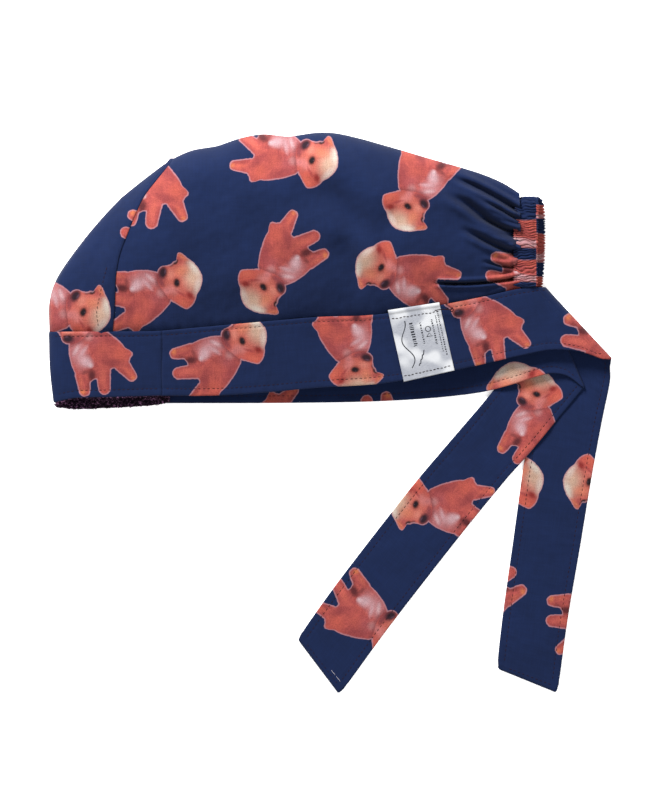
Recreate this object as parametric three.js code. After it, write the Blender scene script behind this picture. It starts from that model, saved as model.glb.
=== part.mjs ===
// Surgical scrub cap of printed cotton, laid on its right side with the ties spread out.
//
// Millimetres, +Z up. The cap lies on the plane z = 0: the brow is at -X, the gathered back at +X, the crown
// towards +Y and the open mouth towards -Y. The left side of the cap is the upper layer ("near"), the right
// side is the lower one ("far"). Every piece is a sheet of cloth, drawn as its middle surface and thickened.
import * as THREE from "three";
import { mergeVertices } from "three/addons/utils/BufferGeometryUtils.js";

// ---------------------------------------------------------------- driving dimensions
const CROWN_CLOTH = 1.2; // wall of the crown
const STRIP_CLOTH = 1.6; // wall of the bands and ties, two plies sewn together
const TERRY_CLOTH = 2.0; // wall of the towelling sweatband
const LABEL_CLOTH = 1.0; // wall of the woven satin label
const SEAM_GAP = 0.4; // clearance between pieces that are sewn edge to edge
const LAYER_GAP = 0.3; // clearance between pieces that lie on each other

const BAND_JOIN_X = -94; // where the forehead band meets the two side bands
const CROWN_BACK_X = 103.9; // where the crown's cloth runs into the elastic's casing

// Outline of the cap lying flat, up the fold at the forehead and over the crown to the casing.
const HEM_FRONT = { x: -154.6, y: 5.6 };
const SEAM_FRONT = { x: -157.2, y: 45.2 };
const FOREHEAD = [
  SEAM_FRONT,
  { x: -157.2, y: 62 },
  { x: -153.6, y: 74 },
  { x: -140.6, y: 93.4 },
  { x: -127.2, y: 109.6 },
  { x: -117.2, y: 120.2 },
];
const RIDGE = [
  { x: -117.2, y: 120.2 },
  { x: -90.4, y: 140.8 },
  { x: -77, y: 147 },
  { x: -63.8, y: 149.3 },
  { x: -50.2, y: 153.8 },
  { x: -37, y: 156 },
  { x: -23.5, y: 154.7 },
  { x: -10.1, y: 156.6 },
  { x: 3.4, y: 156.5 },
  { x: 30.2, y: 149.8 },
  { x: 57.1, y: 141.9 },
  { x: 84, y: 134 },
  { x: 97.2, y: 128.4 },
  { x: 104.6, y: 123.8 },
];

// The seam between crown and bands, and the hem at the mouth, on the upper and the lower layer.
const NEAR_SEAM = [
  SEAM_FRONT,
  { x: -125, y: 45.4 },
  { x: -94, y: 45.8 },
  { x: -58.8, y: 49 },
  { x: -8.4, y: 53.4 },
  { x: 24, y: 54.7 },
  { x: 58.8, y: 59.7 },
  { x: 85.7, y: 64.9 },
  { x: CROWN_BACK_X, y: 68.9 },
];
const FAR_SEAM = [
  SEAM_FRONT,
  { x: -125, y: 43.6 },
  { x: -94, y: 43 },
  { x: -20, y: 43.2 },
  { x: 24, y: 44.8 },
  { x: 60, y: 47.2 },
  { x: 82, y: 49.8 },
  { x: 104.4, y: 54 },
];
const NEAR_HEM = [
  HEM_FRONT,
  { x: -144, y: 8 },
  { x: -122, y: 8.7 },
  { x: BAND_JOIN_X, y: 9.5 },
];
const FAR_HEM = [
  HEM_FRONT,
  { x: -149, y: 3.4 },
  { x: -122, y: 3.6 },
  { x: BAND_JOIN_X, y: 5.2 },
];

// Height of the upper layer's middle surface: at the hem, at the seam and where the crown is fullest.
// rim is the height of the fold at the outline, reach the distance in which the cloth rises from it,
// and lift how far the casing holds the lower layer off the surface that the cap lies on.
const LOFT = [
  { x: -157, hem: 12.0, seam: 15.5, crown: 19.0, rim: 7.0, reach: 30, lift: 0 },
  { x: -94, hem: 10.8, seam: 16.0, crown: 25.5, rim: 5.2, reach: 34, lift: 0 },
  { x: -20, hem: 9.4, seam: 15.4, crown: 27.5, rim: 4.8, reach: 34, lift: 0 },
  { x: 40, hem: 9.4, seam: 14.4, crown: 25.0, rim: 5.2, reach: 30, lift: 0 },
  { x: 85, hem: 10.0, seam: 12.6, crown: 17.0, rim: 6.2, reach: 18, lift: 0.6 },
  { x: 104, hem: 10.6, seam: 11.2, crown: 11.2, rim: 6.8, reach: 9, lift: 2.6 },
];
const FAR_REACH = 7; // distance in which the lower layer drops from the fold to the surface
const FULLEST = 0.5; // share of the way from seam to ridge where the crown is fullest

// Dents and folds of the crown's upper layer: from one point to the other, with a depth and a half width.
const FOLDS = [
  { fold: "dart over the temple", x0: -124, y0: 50, x1: -110, y1: 104, depth: 1.0, width: 4 },
  { fold: "soft hollow at the top", x0: -16, y0: 128, x1: 22, y1: 98, depth: 2.2, width: 12 },
  { fold: "soft hollow in the side", x0: 10, y0: 92, x1: 18, y1: 62, depth: 1.8, width: 9 },
  { fold: "first gather", x0: 78, y0: 128, x1: 104, y1: 116, depth: 2.0, width: 4 },
  { fold: "second gather", x0: 68, y0: 120, x1: 104, y1: 100, depth: 2.6, width: 5 },
  { fold: "third gather", x0: 78, y0: 98, x1: 104, y1: 89, depth: 2.0, width: 4 },
  { fold: "lowest gather", x0: 60, y0: 72.5, x1: 104, y1: 75, depth: 2.6, width: 3.5 },
];

// Side bands that run on into the ties: rulings from the strip's upper edge (ux, uy, uz) to its lower edge
// (lx, ly, lz), in order from the forehead band to the free end. steps is the number of facets to the next
// row. A row without heights lies on the body of the cap.
const LEFT_STRIP = {
  curl: 1,
  onBody: [
    { ux: -93.6, uy: 45.4, lx: -93.6, ly: 9.5, steps: 2 },
    { ux: -58.8, uy: 48.6, lx: -62, ly: 9.6, steps: 2 },
    { ux: -36.4, uy: 50.6, lx: -36.4, ly: 11.3, steps: 2 },
    { ux: -8.4, uy: 53, lx: -5, ly: 14, steps: 2 },
    { ux: 24, uy: 54.3, lx: 30, ly: 16.4, steps: 2 },
    { ux: 58.8, uy: 59.3, lx: 68, ly: 23.2, steps: 2 },
    { ux: 85.7, uy: 64.5, lx: 94, ly: 29, steps: 2 },
  ],
  overStack: [
    { ux: 103, uy: 68.2, uz: 11.2, lx: 110, ly: 32.6, lz: 10.8, steps: 2 },
    { ux: 112, uy: 69.6, uz: 10.8, lx: 125, ly: 35.2, lz: 10.6, steps: 2 },
    { ux: 116, uy: 70, uz: 10.4, lx: 141, ly: 33.9, lz: 9.4, steps: 1 },
  ],
  turn: {
    ux: 120.4, uy: 69.8, lx: 155.2, ly: 30.4, inX: 1, inY: 0, outX: -0.139, outY: -0.99,
    uTop: 10.0, lTop: 8.0, below: 0.8, reach: 3.6,
  },
  leg: [
    { ux: 119.4, uy: 52, uz: 0.8, lx: 156.8, ly: 17, lz: 0.8, steps: 2 },
    { ux: 114.6, uy: 8, uz: 0.8, lx: 153, ly: -4, lz: 0.8, steps: 2 },
    { ux: 108.6, uy: -31, uz: 0.8, lx: 147, ly: -36.4, lz: 0.8, steps: 2 },
    { ux: 103, uy: -71.4, uz: 0.8, lx: 140.4, ly: -76.4, lz: 0.8, steps: 2 },
    { ux: 97.2, uy: -113, uz: 0.8, lx: 133.4, ly: -117.6, lz: 0.8, steps: 2 },
    { ux: 94.2, uy: -143.4, uz: 0.8, lx: 126.8, ly: -156.4, lz: 0.8, steps: 0 },
  ],
};
const RIGHT_STRIP = {
  curl: 2.4,
  onBody: [],
  overStack: [
    { ux: -93.6, uy: 42.6, uz: 0.8, lx: -93.6, ly: 5.2, lz: 0.8, steps: 3 },
    { ux: -20, uy: 42.8, uz: 0.8, lx: -20, ly: 5.4, lz: 0.8, steps: 2 },
    { ux: 24, uy: 44.4, uz: 0.8, lx: 30, ly: 6.4, lz: 0.8, steps: 2 },
    { ux: 60, uy: 46.8, uz: 0.8, lx: 66, ly: 8.9, lz: 0.8, steps: 2 },
    { ux: 82, uy: 49.4, uz: 1.4, lx: 87.2, ly: 11.8, lz: 2.0, steps: 2 },
    { ux: 98, uy: 52.2, uz: 3.8, lx: 102, ly: 15.7, lz: 5.6, steps: 2 },
    { ux: 108, uy: 53.6, uz: 4.8, lx: 115.7, ly: 20, lz: 7.6, steps: 2 },
    { ux: 115, uy: 54.4, uz: 5.0, lx: 125, ly: 22, lz: 8.6, steps: 2 },
    { ux: 120, uy: 54.6, uz: 5.0, lx: 133.4, ly: 20.4, lz: 7.4, steps: 1 },
  ],
  turn: {
    ux: 125, uy: 54.4, lx: 142.6, ly: 14, inX: 0.93, inY: -0.37, outX: -0.6225, outY: -0.7826,
    uTop: 5.0, lTop: 5.4, below: 2.7, reach: 1.2,
  },
  leg: [
    { ux: 110, uy: 35.5, uz: 2.7, lx: 127, ly: -4.8, lz: 2.7, steps: 2 },
    { ux: 98, uy: 20.4, uz: 2.7, lx: 116, ly: -18.2, lz: 2.7, steps: 2 },
    { ux: 87.2, uy: 6.8, uz: 2.2, lx: 107, ly: -28.6, lz: 2.7, steps: 2 },
    { ux: 72, uy: -11, uz: 1.0, lx: 101, ly: -35.2, lz: 2.5, steps: 2 },
    { ux: 49.2, uy: -37.8, uz: 0.8, lx: 78.6, ly: -62.4, lz: 0.9, steps: 2 },
    { ux: 28, uy: -64.6, uz: 0.8, lx: 57.6, ly: -89, lz: 0.8, steps: 2 },
    { ux: 2, uy: -98.6, uz: 0.8, lx: 31.4, ly: -123, lz: 0.8, steps: 2 },
    { ux: -17.4, uy: -126.6, uz: 0.8, lx: 5, ly: -156.6, lz: 0.8, steps: 0 },
  ],
};
const STRIP_ACROSS = 4; // facets across a band or tie
const TURN_FACETS = 6; // facets round the fold of a tie

// Centre line of the elastic's casing, from its end on the left side over the crest to the right side.
const CASING_PATH = [
  { x: 110.2, y: 71.6, z: 10.7 },
  { x: 110.2, y: 84, z: 10.9 },
  { x: 110.3, y: 98, z: 10.9 },
  { x: 110.5, y: 111, z: 10.4 },
  { x: 111.4, y: 117.4, z: 9.0 },
  { x: 112.3, y: 119.2, z: 6.6 },
  { x: 113.3, y: 117, z: 4.2 },
  { x: 113.9, y: 110, z: 3.0 },
  { x: 113.9, y: 90, z: 3.0 },
  { x: 112.6, y: 72, z: 4.2 },
  { x: 110.6, y: 55.6, z: 4.6 },
];
const CASING_WIDTH = 11.4;
const CASING_THICKNESS = 4.6;
const GATHERS = 30; // puckers along the whole casing
const GATHER_DEPTH = 0.9; // how much thinner the casing is between two puckers
const OVAL_SIDES = 12;

// The label on the left side band: its corners as places along and across the strip.
const LABEL = { from: 4.22, to: 5.02, lean: 0.16, top: -0.06, bottom: 0.96, across: 5, along: 4 };

// The towelling sweatband inside the forehead band.
const TERRY = { endX: -89.5, proud: 0.9, share: 0.8, gap: 0.8 };

// ---------------------------------------------------------------- small helpers
const mix = (a, b, t) => a + (b - a) * t;
const vec = (p) => new THREE.Vector3(p.x, p.y, p.z ?? 0);
const curveThrough = (points) =>
  new THREE.CatmullRomCurve3(points.map(vec), false, "centripetal");

// A column of a table at any x, along a smooth curve through the rows.
function columnAt(rows, column, x) {
  const last = rows.length - 1;
  const clamped = THREE.MathUtils.clamp(x, rows[0].x, rows[last].x);
  let i = 0;
  while (i < last - 1 && rows[i + 1].x < clamped) i++;
  const slope = (k) => {
    const a = rows[Math.max(k - 1, 0)];
    const b = rows[Math.min(k + 1, last)];
    return (b[column] - a[column]) / (b.x - a.x);
  };
  const span = rows[i + 1].x - rows[i].x;
  const t = (clamped - rows[i].x) / span;
  const value =
    (2 * t ** 3 - 3 * t ** 2 + 1) * rows[i][column] +
    (t ** 3 - 2 * t ** 2 + t) * span * slope(i) +
    (3 * t ** 2 - 2 * t ** 3) * rows[i + 1][column] +
    (t ** 3 - t ** 2) * span * slope(i + 1);
  return value;
}

// Distance in plan from a point to a run of points, and to a straight line between two points.
function distanceToSegment(p, a, b) {
  const line = new THREE.Line3(a, b);
  const nearest = line.closestPointToPoint(p, true, new THREE.Vector3());
  return p.distanceTo(nearest);
}
function distanceToRun(p, run) {
  let best = Infinity;
  for (let i = 1; i < run.length; i++) best = Math.min(best, distanceToSegment(p, run[i - 1], run[i]));
  return best;
}

// Share of the full height that the cloth has reached at this share of the rise from a fold.
const dome = (share) => Math.sqrt(1 - (1 - Math.min(share, 1)) ** 2);

// ---------------------------------------------------------------- heights of the two layers
const browEdge = curveThrough([HEM_FRONT, { x: -156.6, y: 24 }, SEAM_FRONT]);
const foreheadEdge = curveThrough(FOREHEAD);
const ridgeEdge = curveThrough(RIDGE);
const OUTLINE_RUN = [browEdge, foreheadEdge, ridgeEdge].flatMap((edge) => edge.getSpacedPoints(40));

function foldDepth(x, y) {
  const here = new THREE.Vector3(x, y, 0);
  return FOLDS.reduce((sum, f) => {
    const far = distanceToSegment(here, new THREE.Vector3(f.x0, f.y0, 0), new THREE.Vector3(f.x1, f.y1, 0));
    return sum + f.depth * Math.exp(-((far / f.width) ** 2));
  }, 0);
}

// Upper layer. up is the way from the seam to the ridge, and down the way from the seam to the hem.
function nearHeight(x, y, up, down, atFold) {
  const rim = columnAt(LOFT, "rim", x);
  if (atFold) return rim;
  const seam = columnAt(LOFT, "seam", x);
  const rise = Math.sin((Math.min(up / FULLEST, 1) * Math.PI) / 2);
  const full =
    down > 0
      ? mix(seam, columnAt(LOFT, "hem", x), down)
      : mix(seam, columnAt(LOFT, "crown", x), rise);
  const inFromFold = distanceToRun(new THREE.Vector3(x, y, 0), OUTLINE_RUN);
  const folded = up > 0 ? foldDepth(x, y) * Math.min(1, up * 8) : 0;
  return mix(rim, full - folded, dome(inFromFold / columnAt(LOFT, "reach", x)));
}

// Lower layer, flat on the surface but for the fold at the outline and the lift beside the casing.
function farHeight(x, y, cloth, atFold) {
  const rim = columnAt(LOFT, "rim", x);
  if (atFold) return rim;
  const inFromFold = distanceToRun(new THREE.Vector3(x, y, 0), OUTLINE_RUN);
  const flat = cloth / 2 + Math.max(columnAt(LOFT, "lift", x), 0);
  return mix(rim, flat, dome(inFromFold / FAR_REACH));
}

// ---------------------------------------------------------------- surfaces and sheets
// A point inside four edges: bottom and top run along, left and right run across.
function patchPoint(edges, a, b) {
  const bottom = edges.bottom.getPointAt(a);
  const top = edges.top.getPointAt(a);
  const left = edges.left.getPointAt(b);
  const right = edges.right.getPointAt(b);
  const corner = (u, v) => (v ? edges.top : edges.bottom).getPointAt(u);
  return new THREE.Vector3()
    .addScaledVector(bottom, 1 - b)
    .addScaledVector(top, b)
    .addScaledVector(left, 1 - a)
    .addScaledVector(right, a)
    .addScaledVector(corner(0, 0), -(1 - a) * (1 - b))
    .addScaledVector(corner(1, 0), -a * (1 - b))
    .addScaledVector(corner(0, 1), -(1 - a) * b)
    .addScaledVector(corner(1, 1), -a * b);
}

// A grid of points, listed row by row, as triangles that face up when the rows run along +X and then +Y.
function gridSurface(columns, rows, pointAt, flipped) {
  const positions = [];
  for (let j = 0; j <= rows; j++)
    for (let i = 0; i <= columns; i++) positions.push(...pointAt(i, j).toArray());
  const index = [];
  for (let j = 0; j < rows; j++)
    for (let i = 0; i < columns; i++) {
      const a = j * (columns + 1) + i;
      const c = a + columns + 1;
      const quad = [a, a + 1, c + 1, a, c + 1, c];
      index.push(...(flipped ? quad.reverse() : quad));
    }
  return { positions, index };
}

// Several grids as one surface, joined where their points are the same.
function joinSurfaces(...surfaces) {
  const positions = [];
  const index = [];
  for (const surface of surfaces) {
    const first = positions.length / 3;
    positions.push(...surface.positions);
    index.push(...surface.index.map((k) => k + first));
  }
  const geometry = new THREE.BufferGeometry();
  geometry.setAttribute("position", new THREE.Float32BufferAttribute(positions, 3));
  geometry.setIndex(index);
  return mergeVertices(geometry, 1e-3);
}

// Thickens a surface into a closed sheet that lies between two distances along the surface's normals.
function sheet(surface, inner, outer) {
  const geometry = surface.clone();
  geometry.computeVertexNormals();
  const place = geometry.getAttribute("position");
  const normal = geometry.getAttribute("normal");
  const count = place.count;
  const positions = [];
  for (const distance of [outer, inner])
    for (let k = 0; k < count; k++)
      positions.push(
        place.getX(k) + normal.getX(k) * distance,
        place.getY(k) + normal.getY(k) * distance,
        place.getZ(k) + normal.getZ(k) * distance,
      );
  const faces = Array.from(geometry.index.array);
  const index = [];
  const edges = new Set();
  for (let f = 0; f < faces.length; f += 3) {
    const [a, b, c] = faces.slice(f, f + 3);
    index.push(a, b, c, count + a, count + c, count + b);
    for (const [from, to] of [[a, b], [b, c], [c, a]]) {
      if (!edges.delete(`${to} ${from}`)) edges.add(`${from} ${to}`);
    }
  }
  for (const edge of edges) {
    const [from, to] = edge.split(" ").map(Number);
    index.push(from, count + from, count + to, from, count + to, to);
  }
  const closed = new THREE.BufferGeometry();
  closed.setAttribute("position", new THREE.Float32BufferAttribute(positions, 3));
  closed.setIndex(index);
  return closed;
}

// ---------------------------------------------------------------- crown
const CROWN_COLUMNS = 26;
const CROWN_ROWS = 15;

function crownEdges(seam, back, lift) {
  const raised = seam.map((p) => ({ x: p.x, y: p.y + SEAM_GAP / 2 + (p.x > SEAM_FRONT.x ? lift : 0) }));
  raised[0] = { ...SEAM_FRONT, y: SEAM_FRONT.y + SEAM_GAP / 2 };
  const forehead = [raised[0], ...FOREHEAD.slice(1)];
  const last = raised[raised.length - 1];
  return {
    bottom: curveThrough(raised),
    top: ridgeEdge,
    left: curveThrough(forehead),
    right: curveThrough([last, ...back, RIDGE[RIDGE.length - 1]]),
  };
}

function crownGeometry() {
  const near = crownEdges(NEAR_SEAM, [{ x: 103.9, y: 90 }, { x: 103.9, y: 112 }], 0);
  const far = crownEdges(FAR_SEAM, [{ x: 106.4, y: 80 }, { x: 107.4, y: 108 }], 0);
  const along = (i) => (i / CROWN_COLUMNS) ** 1.5;
  const across = (j) => 1 - (1 - j / CROWN_ROWS) ** 1.6;
  const pointOn = (edges, height) => (i, j) => {
    const p = patchPoint(edges, along(i), across(j));
    p.z = height(p, across(j), i === 0 || j === CROWN_ROWS);
    return p;
  };
  const upper = pointOn(near, (p, up, atFold) => nearHeight(p.x, p.y, Math.max(up, 1e-6), 0, atFold));
  const lower = pointOn(far, (p, up, atFold) => farHeight(p.x, p.y, CROWN_CLOTH, atFold));
  const surface = joinSurfaces(
    gridSurface(CROWN_COLUMNS, CROWN_ROWS, upper, false),
    gridSurface(CROWN_COLUMNS, CROWN_ROWS, lower, true),
  );
  return sheet(surface, -CROWN_CLOTH / 2, CROWN_CLOTH / 2);
}

// ---------------------------------------------------------------- forehead band and sweatband
const BROW_COLUMNS = 12;
const BROW_ROWS = 5;

// A surface from endX round the fold at the brow, from the hem up to a share of the band's height.
function browSurface(endX, proud, share) {
  const edgesOf = (seam, hem) => {
    const hemCurve = curveThrough([...hem, { x: hem[hem.length - 1].x + 30, y: hem[hem.length - 1].y + 0.2 }]);
    const seamCurve = curveThrough(seam);
    const upTo = (curve) => {
      const points = curve.getSpacedPoints(400).filter((p) => p.x <= endX);
      points[points.length - 1].x = endX;
      return points;
    };
    const low = upTo(hemCurve).map((p) => ({ x: p.x, y: p.y - proud }));
    const high = upTo(seamCurve).map((p) => ({ x: p.x, y: p.y - SEAM_GAP / 2 }));
    const thin = (points) => points.filter((p, i) => i % 24 === 0 || i === points.length - 1);
    const bottom = curveThrough(thin(low));
    const full = curveThrough(thin(high));
    return { bottom, top: full };
  };
  const pointOn = (seam, hem, heightAt) => {
    const { bottom, top } = edgesOf(seam, hem);
    const left = curveThrough([bottom.getPointAt(0), { x: -156.6, y: 24 }, top.getPointAt(0)]);
    const right = curveThrough([bottom.getPointAt(1), top.getPointAt(1)]);
    const edges = { bottom, top, left, right };
    return (i, j) => {
      const b = (j / BROW_ROWS) * share;
      const p = patchPoint(edges, (i / BROW_COLUMNS) ** 1.8, b);
      p.z = heightAt(p, 1 - b, i === 0);
      return p;
    };
  };
  const upper = pointOn(NEAR_SEAM, NEAR_HEM, (p, down, atFold) => nearHeight(p.x, p.y, 0, down, atFold));
  const lower = pointOn(FAR_SEAM, FAR_HEM, (p, down, atFold) => farHeight(p.x, p.y, STRIP_CLOTH, atFold));
  return joinSurfaces(
    gridSurface(BROW_COLUMNS, BROW_ROWS, upper, false),
    gridSurface(BROW_COLUMNS, BROW_ROWS, lower, true),
  );
}

function foreheadBandGeometry() {
  return sheet(browSurface(BAND_JOIN_X - SEAM_GAP / 2, 0, 1), -STRIP_CLOTH / 2, STRIP_CLOTH / 2);
}

function sweatbandGeometry() {
  const face = -(STRIP_CLOTH / 2 + TERRY.gap);
  return sheet(browSurface(TERRY.endX, TERRY.proud, TERRY.share), face - TERRY_CLOTH, face);
}

// ---------------------------------------------------------------- side bands with their ties
// The rulings round the fold of a tie: in above, round the fold line, and out below.
function turnRulings(turn) {
  const fold = new THREE.Vector2(turn.lx - turn.ux, turn.ly - turn.uy).normalize();
  const into = new THREE.Vector2(turn.inX, turn.inY).normalize();
  const out = new THREE.Vector2(turn.outX, turn.outY).normalize();
  const rulings = [];
  for (let k = 0; k <= TURN_FACETS; k++) {
    const angle = Math.PI * (0.5 - k / TURN_FACETS);
    const back = turn.reach * (1 - Math.cos(angle));
    const way = angle > 0 ? into.clone().negate() : out;
    const step = back / Math.abs(way.cross(fold));
    const height = (top) => mix(turn.below, top, (1 + Math.sin(angle)) / 2);
    rulings.push({
      ux: turn.ux + way.x * step, uy: turn.uy + way.y * step, uz: height(turn.uTop),
      lx: turn.lx + way.x * step, ly: turn.ly + way.y * step, lz: height(turn.lTop),
      steps: 1,
    });
  }
  return rulings;
}

function stripRulings(strip) {
  const onBody = strip.onBody.map((r) => ({
    ...r,
    uz: nearHeight(r.ux, r.uy, 0, 1e-6, false),
    lz: nearHeight(r.lx, r.ly, 0, 1, false),
  }));
  return [...onBody, ...strip.overStack, ...turnRulings(strip.turn), ...strip.leg];
}

// A point of a strip: at is counted in rulings, and across runs from the upper edge (0) to the lower (1).
function stripPoint(strip) {
  const rulings = stripRulings(strip);
  const last = rulings.length - 1;
  const upper = curveThrough(rulings.map((r) => ({ x: r.ux, y: r.uy, z: r.uz })));
  const lower = curveThrough(rulings.map((r) => ({ x: r.lx, y: r.ly, z: r.lz })));
  return (at, across) => {
    const u = upper.getPoint(at / last);
    const l = lower.getPoint(at / last);
    const p = u.clone().lerp(l, across);
    p.z = mix(u.z, l.z, Math.sign(across) * Math.abs(across) ** strip.curl);
    return p;
  };
}

function stripGeometry(strip) {
  const places = stripRulings(strip).flatMap((r, i) =>
    Array.from({ length: Math.max(r.steps, 1) }, (_, k) => i + k / Math.max(r.steps, 1)),
  );
  const pointAt = stripPoint(strip);
  const surface = gridSurface(
    places.length - 1,
    STRIP_ACROSS,
    (i, j) => pointAt(places[i], 1 - j / STRIP_ACROSS),
    false,
  );
  return sheet(joinSurfaces(surface), -STRIP_CLOTH / 2, STRIP_CLOTH / 2);
}

// ---------------------------------------------------------------- label
function labelGeometry() {
  const pointAt = stripPoint(LEFT_STRIP);
  const surface = gridSurface(
    LABEL.along,
    LABEL.across,
    (i, j) => {
      const down = mix(LABEL.bottom, LABEL.top, j / LABEL.across);
      const at = mix(LABEL.from, LABEL.to, i / LABEL.along) + LABEL.lean * down;
      return pointAt(at, down);
    },
    false,
  );
  const face = STRIP_CLOTH / 2 + LAYER_GAP + 0.25;
  return sheet(joinSurfaces(surface), face, face + LABEL_CLOTH);
}

// ---------------------------------------------------------------- elastic casing
function casingGeometry() {
  const path = curveThrough(CASING_PATH);
  const stations = GATHERS * 2;
  const positions = [];
  const index = [];
  const width = new THREE.Vector3(1, 0, 0);
  for (let s = 0; s <= stations; s++) {
    const centre = path.getPointAt(s / stations);
    const thickness = new THREE.Vector3().crossVectors(width, path.getTangentAt(s / stations)).normalize();
    const pinch = s % 2 ? 0 : GATHER_DEPTH;
    for (let k = 0; k < OVAL_SIDES; k++) {
      const angle = (2 * Math.PI * k) / OVAL_SIDES;
      const p = centre
        .clone()
        .addScaledVector(width, ((CASING_WIDTH - pinch) / 2) * Math.cos(angle))
        .addScaledVector(thickness, ((CASING_THICKNESS - pinch) / 2) * Math.sin(angle));
      positions.push(...p.toArray());
    }
  }
  const ringStart = (s) => s * OVAL_SIDES;
  for (let s = 0; s < stations; s++)
    for (let k = 0; k < OVAL_SIDES; k++) {
      const a = ringStart(s) + k;
      const b = ringStart(s) + ((k + 1) % OVAL_SIDES);
      index.push(a, b + OVAL_SIDES, b, a, a + OVAL_SIDES, b + OVAL_SIDES);
    }
  for (let k = 1; k < OVAL_SIDES - 1; k++) {
    index.push(0, k, k + 1);
    index.push(ringStart(stations), ringStart(stations) + k + 1, ringStart(stations) + k);
  }
  const geometry = new THREE.BufferGeometry();
  geometry.setAttribute("position", new THREE.Float32BufferAttribute(positions, 3));
  geometry.setIndex(index);
  return geometry;
}

// ---------------------------------------------------------------- assembly
const printedCotton = () => new THREE.MeshStandardMaterial({ color: 0x23365f, roughness: 0.9, metalness: 0 });
const terry = new THREE.MeshStandardMaterial({ color: 0x3a1d3c, roughness: 1, metalness: 0 });
const satin = new THREE.MeshStandardMaterial({ color: 0xdcdfe8, roughness: 0.45, metalness: 0 });

function piece(name, geometry, material) {
  const mesh = new THREE.Mesh(geometry, material);
  mesh.name = name;
  return mesh;
}

const cap = new THREE.Group();
cap.add(
  piece("crown", crownGeometry(), printedCotton()),
  piece("forehead_band", foreheadBandGeometry(), printedCotton()),
  piece("sweatband", sweatbandGeometry(), terry),
  piece("left_band_tie", stripGeometry(LEFT_STRIP), printedCotton()),
  piece("right_band_tie", stripGeometry(RIGHT_STRIP), printedCotton()),
  piece("elastic_casing", casingGeometry(), printedCotton()),
  piece("label", labelGeometry(), satin),
);

// The origin is on the surface that the cap lies on, in the middle of its footprint.
const footprint = new THREE.Box3().setFromObject(cap);
const middle = footprint.getCenter(new THREE.Vector3());
cap.position.set(-middle.x, -middle.y, -footprint.min.z);

const part = new THREE.Group();
part.add(cap);

export default part;
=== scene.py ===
"""A printed cotton surgical scrub cap, laid on its right side with the ties spread out.

Lengths in the tables are millimetres in the plane that the cap lies on: the brow is at -X, the gathered back
at +X, the crown towards +Y and the mouth towards -Y. The left side of the cap is the upper layer, the right
side the lower one. Every piece of cloth is a grid of points on the middle of the cloth, thickened into a
closed sheet.
"""
import logging
import math
from dataclasses import dataclass, field
from enum import Enum
from typing import Sequence

import bpy
import numpy as np
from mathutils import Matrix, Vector


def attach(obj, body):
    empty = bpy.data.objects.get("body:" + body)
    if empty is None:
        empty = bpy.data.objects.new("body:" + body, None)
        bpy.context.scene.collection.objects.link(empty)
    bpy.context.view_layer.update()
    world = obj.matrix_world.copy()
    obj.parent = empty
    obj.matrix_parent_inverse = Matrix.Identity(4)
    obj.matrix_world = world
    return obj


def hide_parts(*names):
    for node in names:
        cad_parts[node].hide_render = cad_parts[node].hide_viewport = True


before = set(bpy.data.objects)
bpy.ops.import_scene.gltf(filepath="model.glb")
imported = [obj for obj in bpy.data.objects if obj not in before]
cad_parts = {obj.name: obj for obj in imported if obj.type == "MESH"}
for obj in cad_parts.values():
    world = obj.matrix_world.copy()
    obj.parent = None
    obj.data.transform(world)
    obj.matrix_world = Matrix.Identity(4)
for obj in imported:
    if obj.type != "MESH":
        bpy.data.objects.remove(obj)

Array = np.ndarray
Point = tuple[float, float]
Colour = tuple[int, int, int]
Socket = bpy.types.NodeSocket
Material = bpy.types.Material
Piece = bpy.types.Object

LOG = logging.getLogger("scrub_cap")
MM = 0.001
ORIGIN = np.array([0.649, -0.446, 0.11])  # where the tables' origin lies in the row's frame, mm
UP = np.array([0.0, 0.0, 1.0])
ROOT = "root"
PRINT = "print"  # the attribute with the puppy coordinates
WEAVE = "weave"  # the attribute with the places along the threads
NO_PRINT = 900.0  # a puppy coordinate far from the puppy


class Slot(Enum):
    """The record's material slots."""

    COTTON = "printed_cotton"
    TERRY = "dark_terry"
    SATIN = "white_satin"


# ------------ curves and small maths
def smooth(low: float, high: float, value: Array) -> Array:
    """A smooth step from 0 at low to 1 at high."""
    share = np.clip((value - low) / (high - low), 0.0, 1.0)
    return share * share * (3 - 2 * share)


def blend(a: Array, b: Array, share: Array) -> Array:
    """The value that lies this share of the way from a to b."""
    return a + (b - a) * share


def through(knots: Sequence[Sequence[float]], per_span: int = 20) -> Array:
    """Dense points of a centripetal Catmull-Rom curve.

    Args:
        knots: the points that the curve passes through.
        per_span: points made for each span between two knots.
    Returns:
        The points, a row each, with the last knot at the end.
    """
    p = np.asarray(knots, float)
    ends = np.vstack([2 * p[0] - p[1], p, 2 * p[-1] - p[-2]])
    rows = []
    for a, b, c, d in zip(ends, ends[1:], ends[2:], ends[3:]):
        t1 = math.sqrt(max(np.linalg.norm(b - a), 1e-9))
        t2 = t1 + math.sqrt(max(np.linalg.norm(c - b), 1e-9))
        t3 = t2 + math.sqrt(max(np.linalg.norm(d - c), 1e-9))
        t = np.linspace(t1, t2, per_span, endpoint=False)[:, None]
        ab = a + (b - a) * t / t1
        bc = b + (c - b) * (t - t1) / (t2 - t1)
        cd = c + (d - c) * (t - t2) / (t3 - t2)
        abc = ab + (bc - ab) * t / t2
        bcd = bc + (cd - bc) * (t - t1) / (t3 - t1)
        rows.append(abc + (bcd - abc) * (t - t1) / (t2 - t1))
    return np.vstack(rows + [p[-1:]])


def reach_along(points: Array) -> Array:
    """Distance of each point from the first one, along the run of points."""
    steps = np.linalg.norm(np.diff(points, axis=0), axis=1)
    return np.concatenate([[0.0], np.cumsum(steps)])


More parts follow.
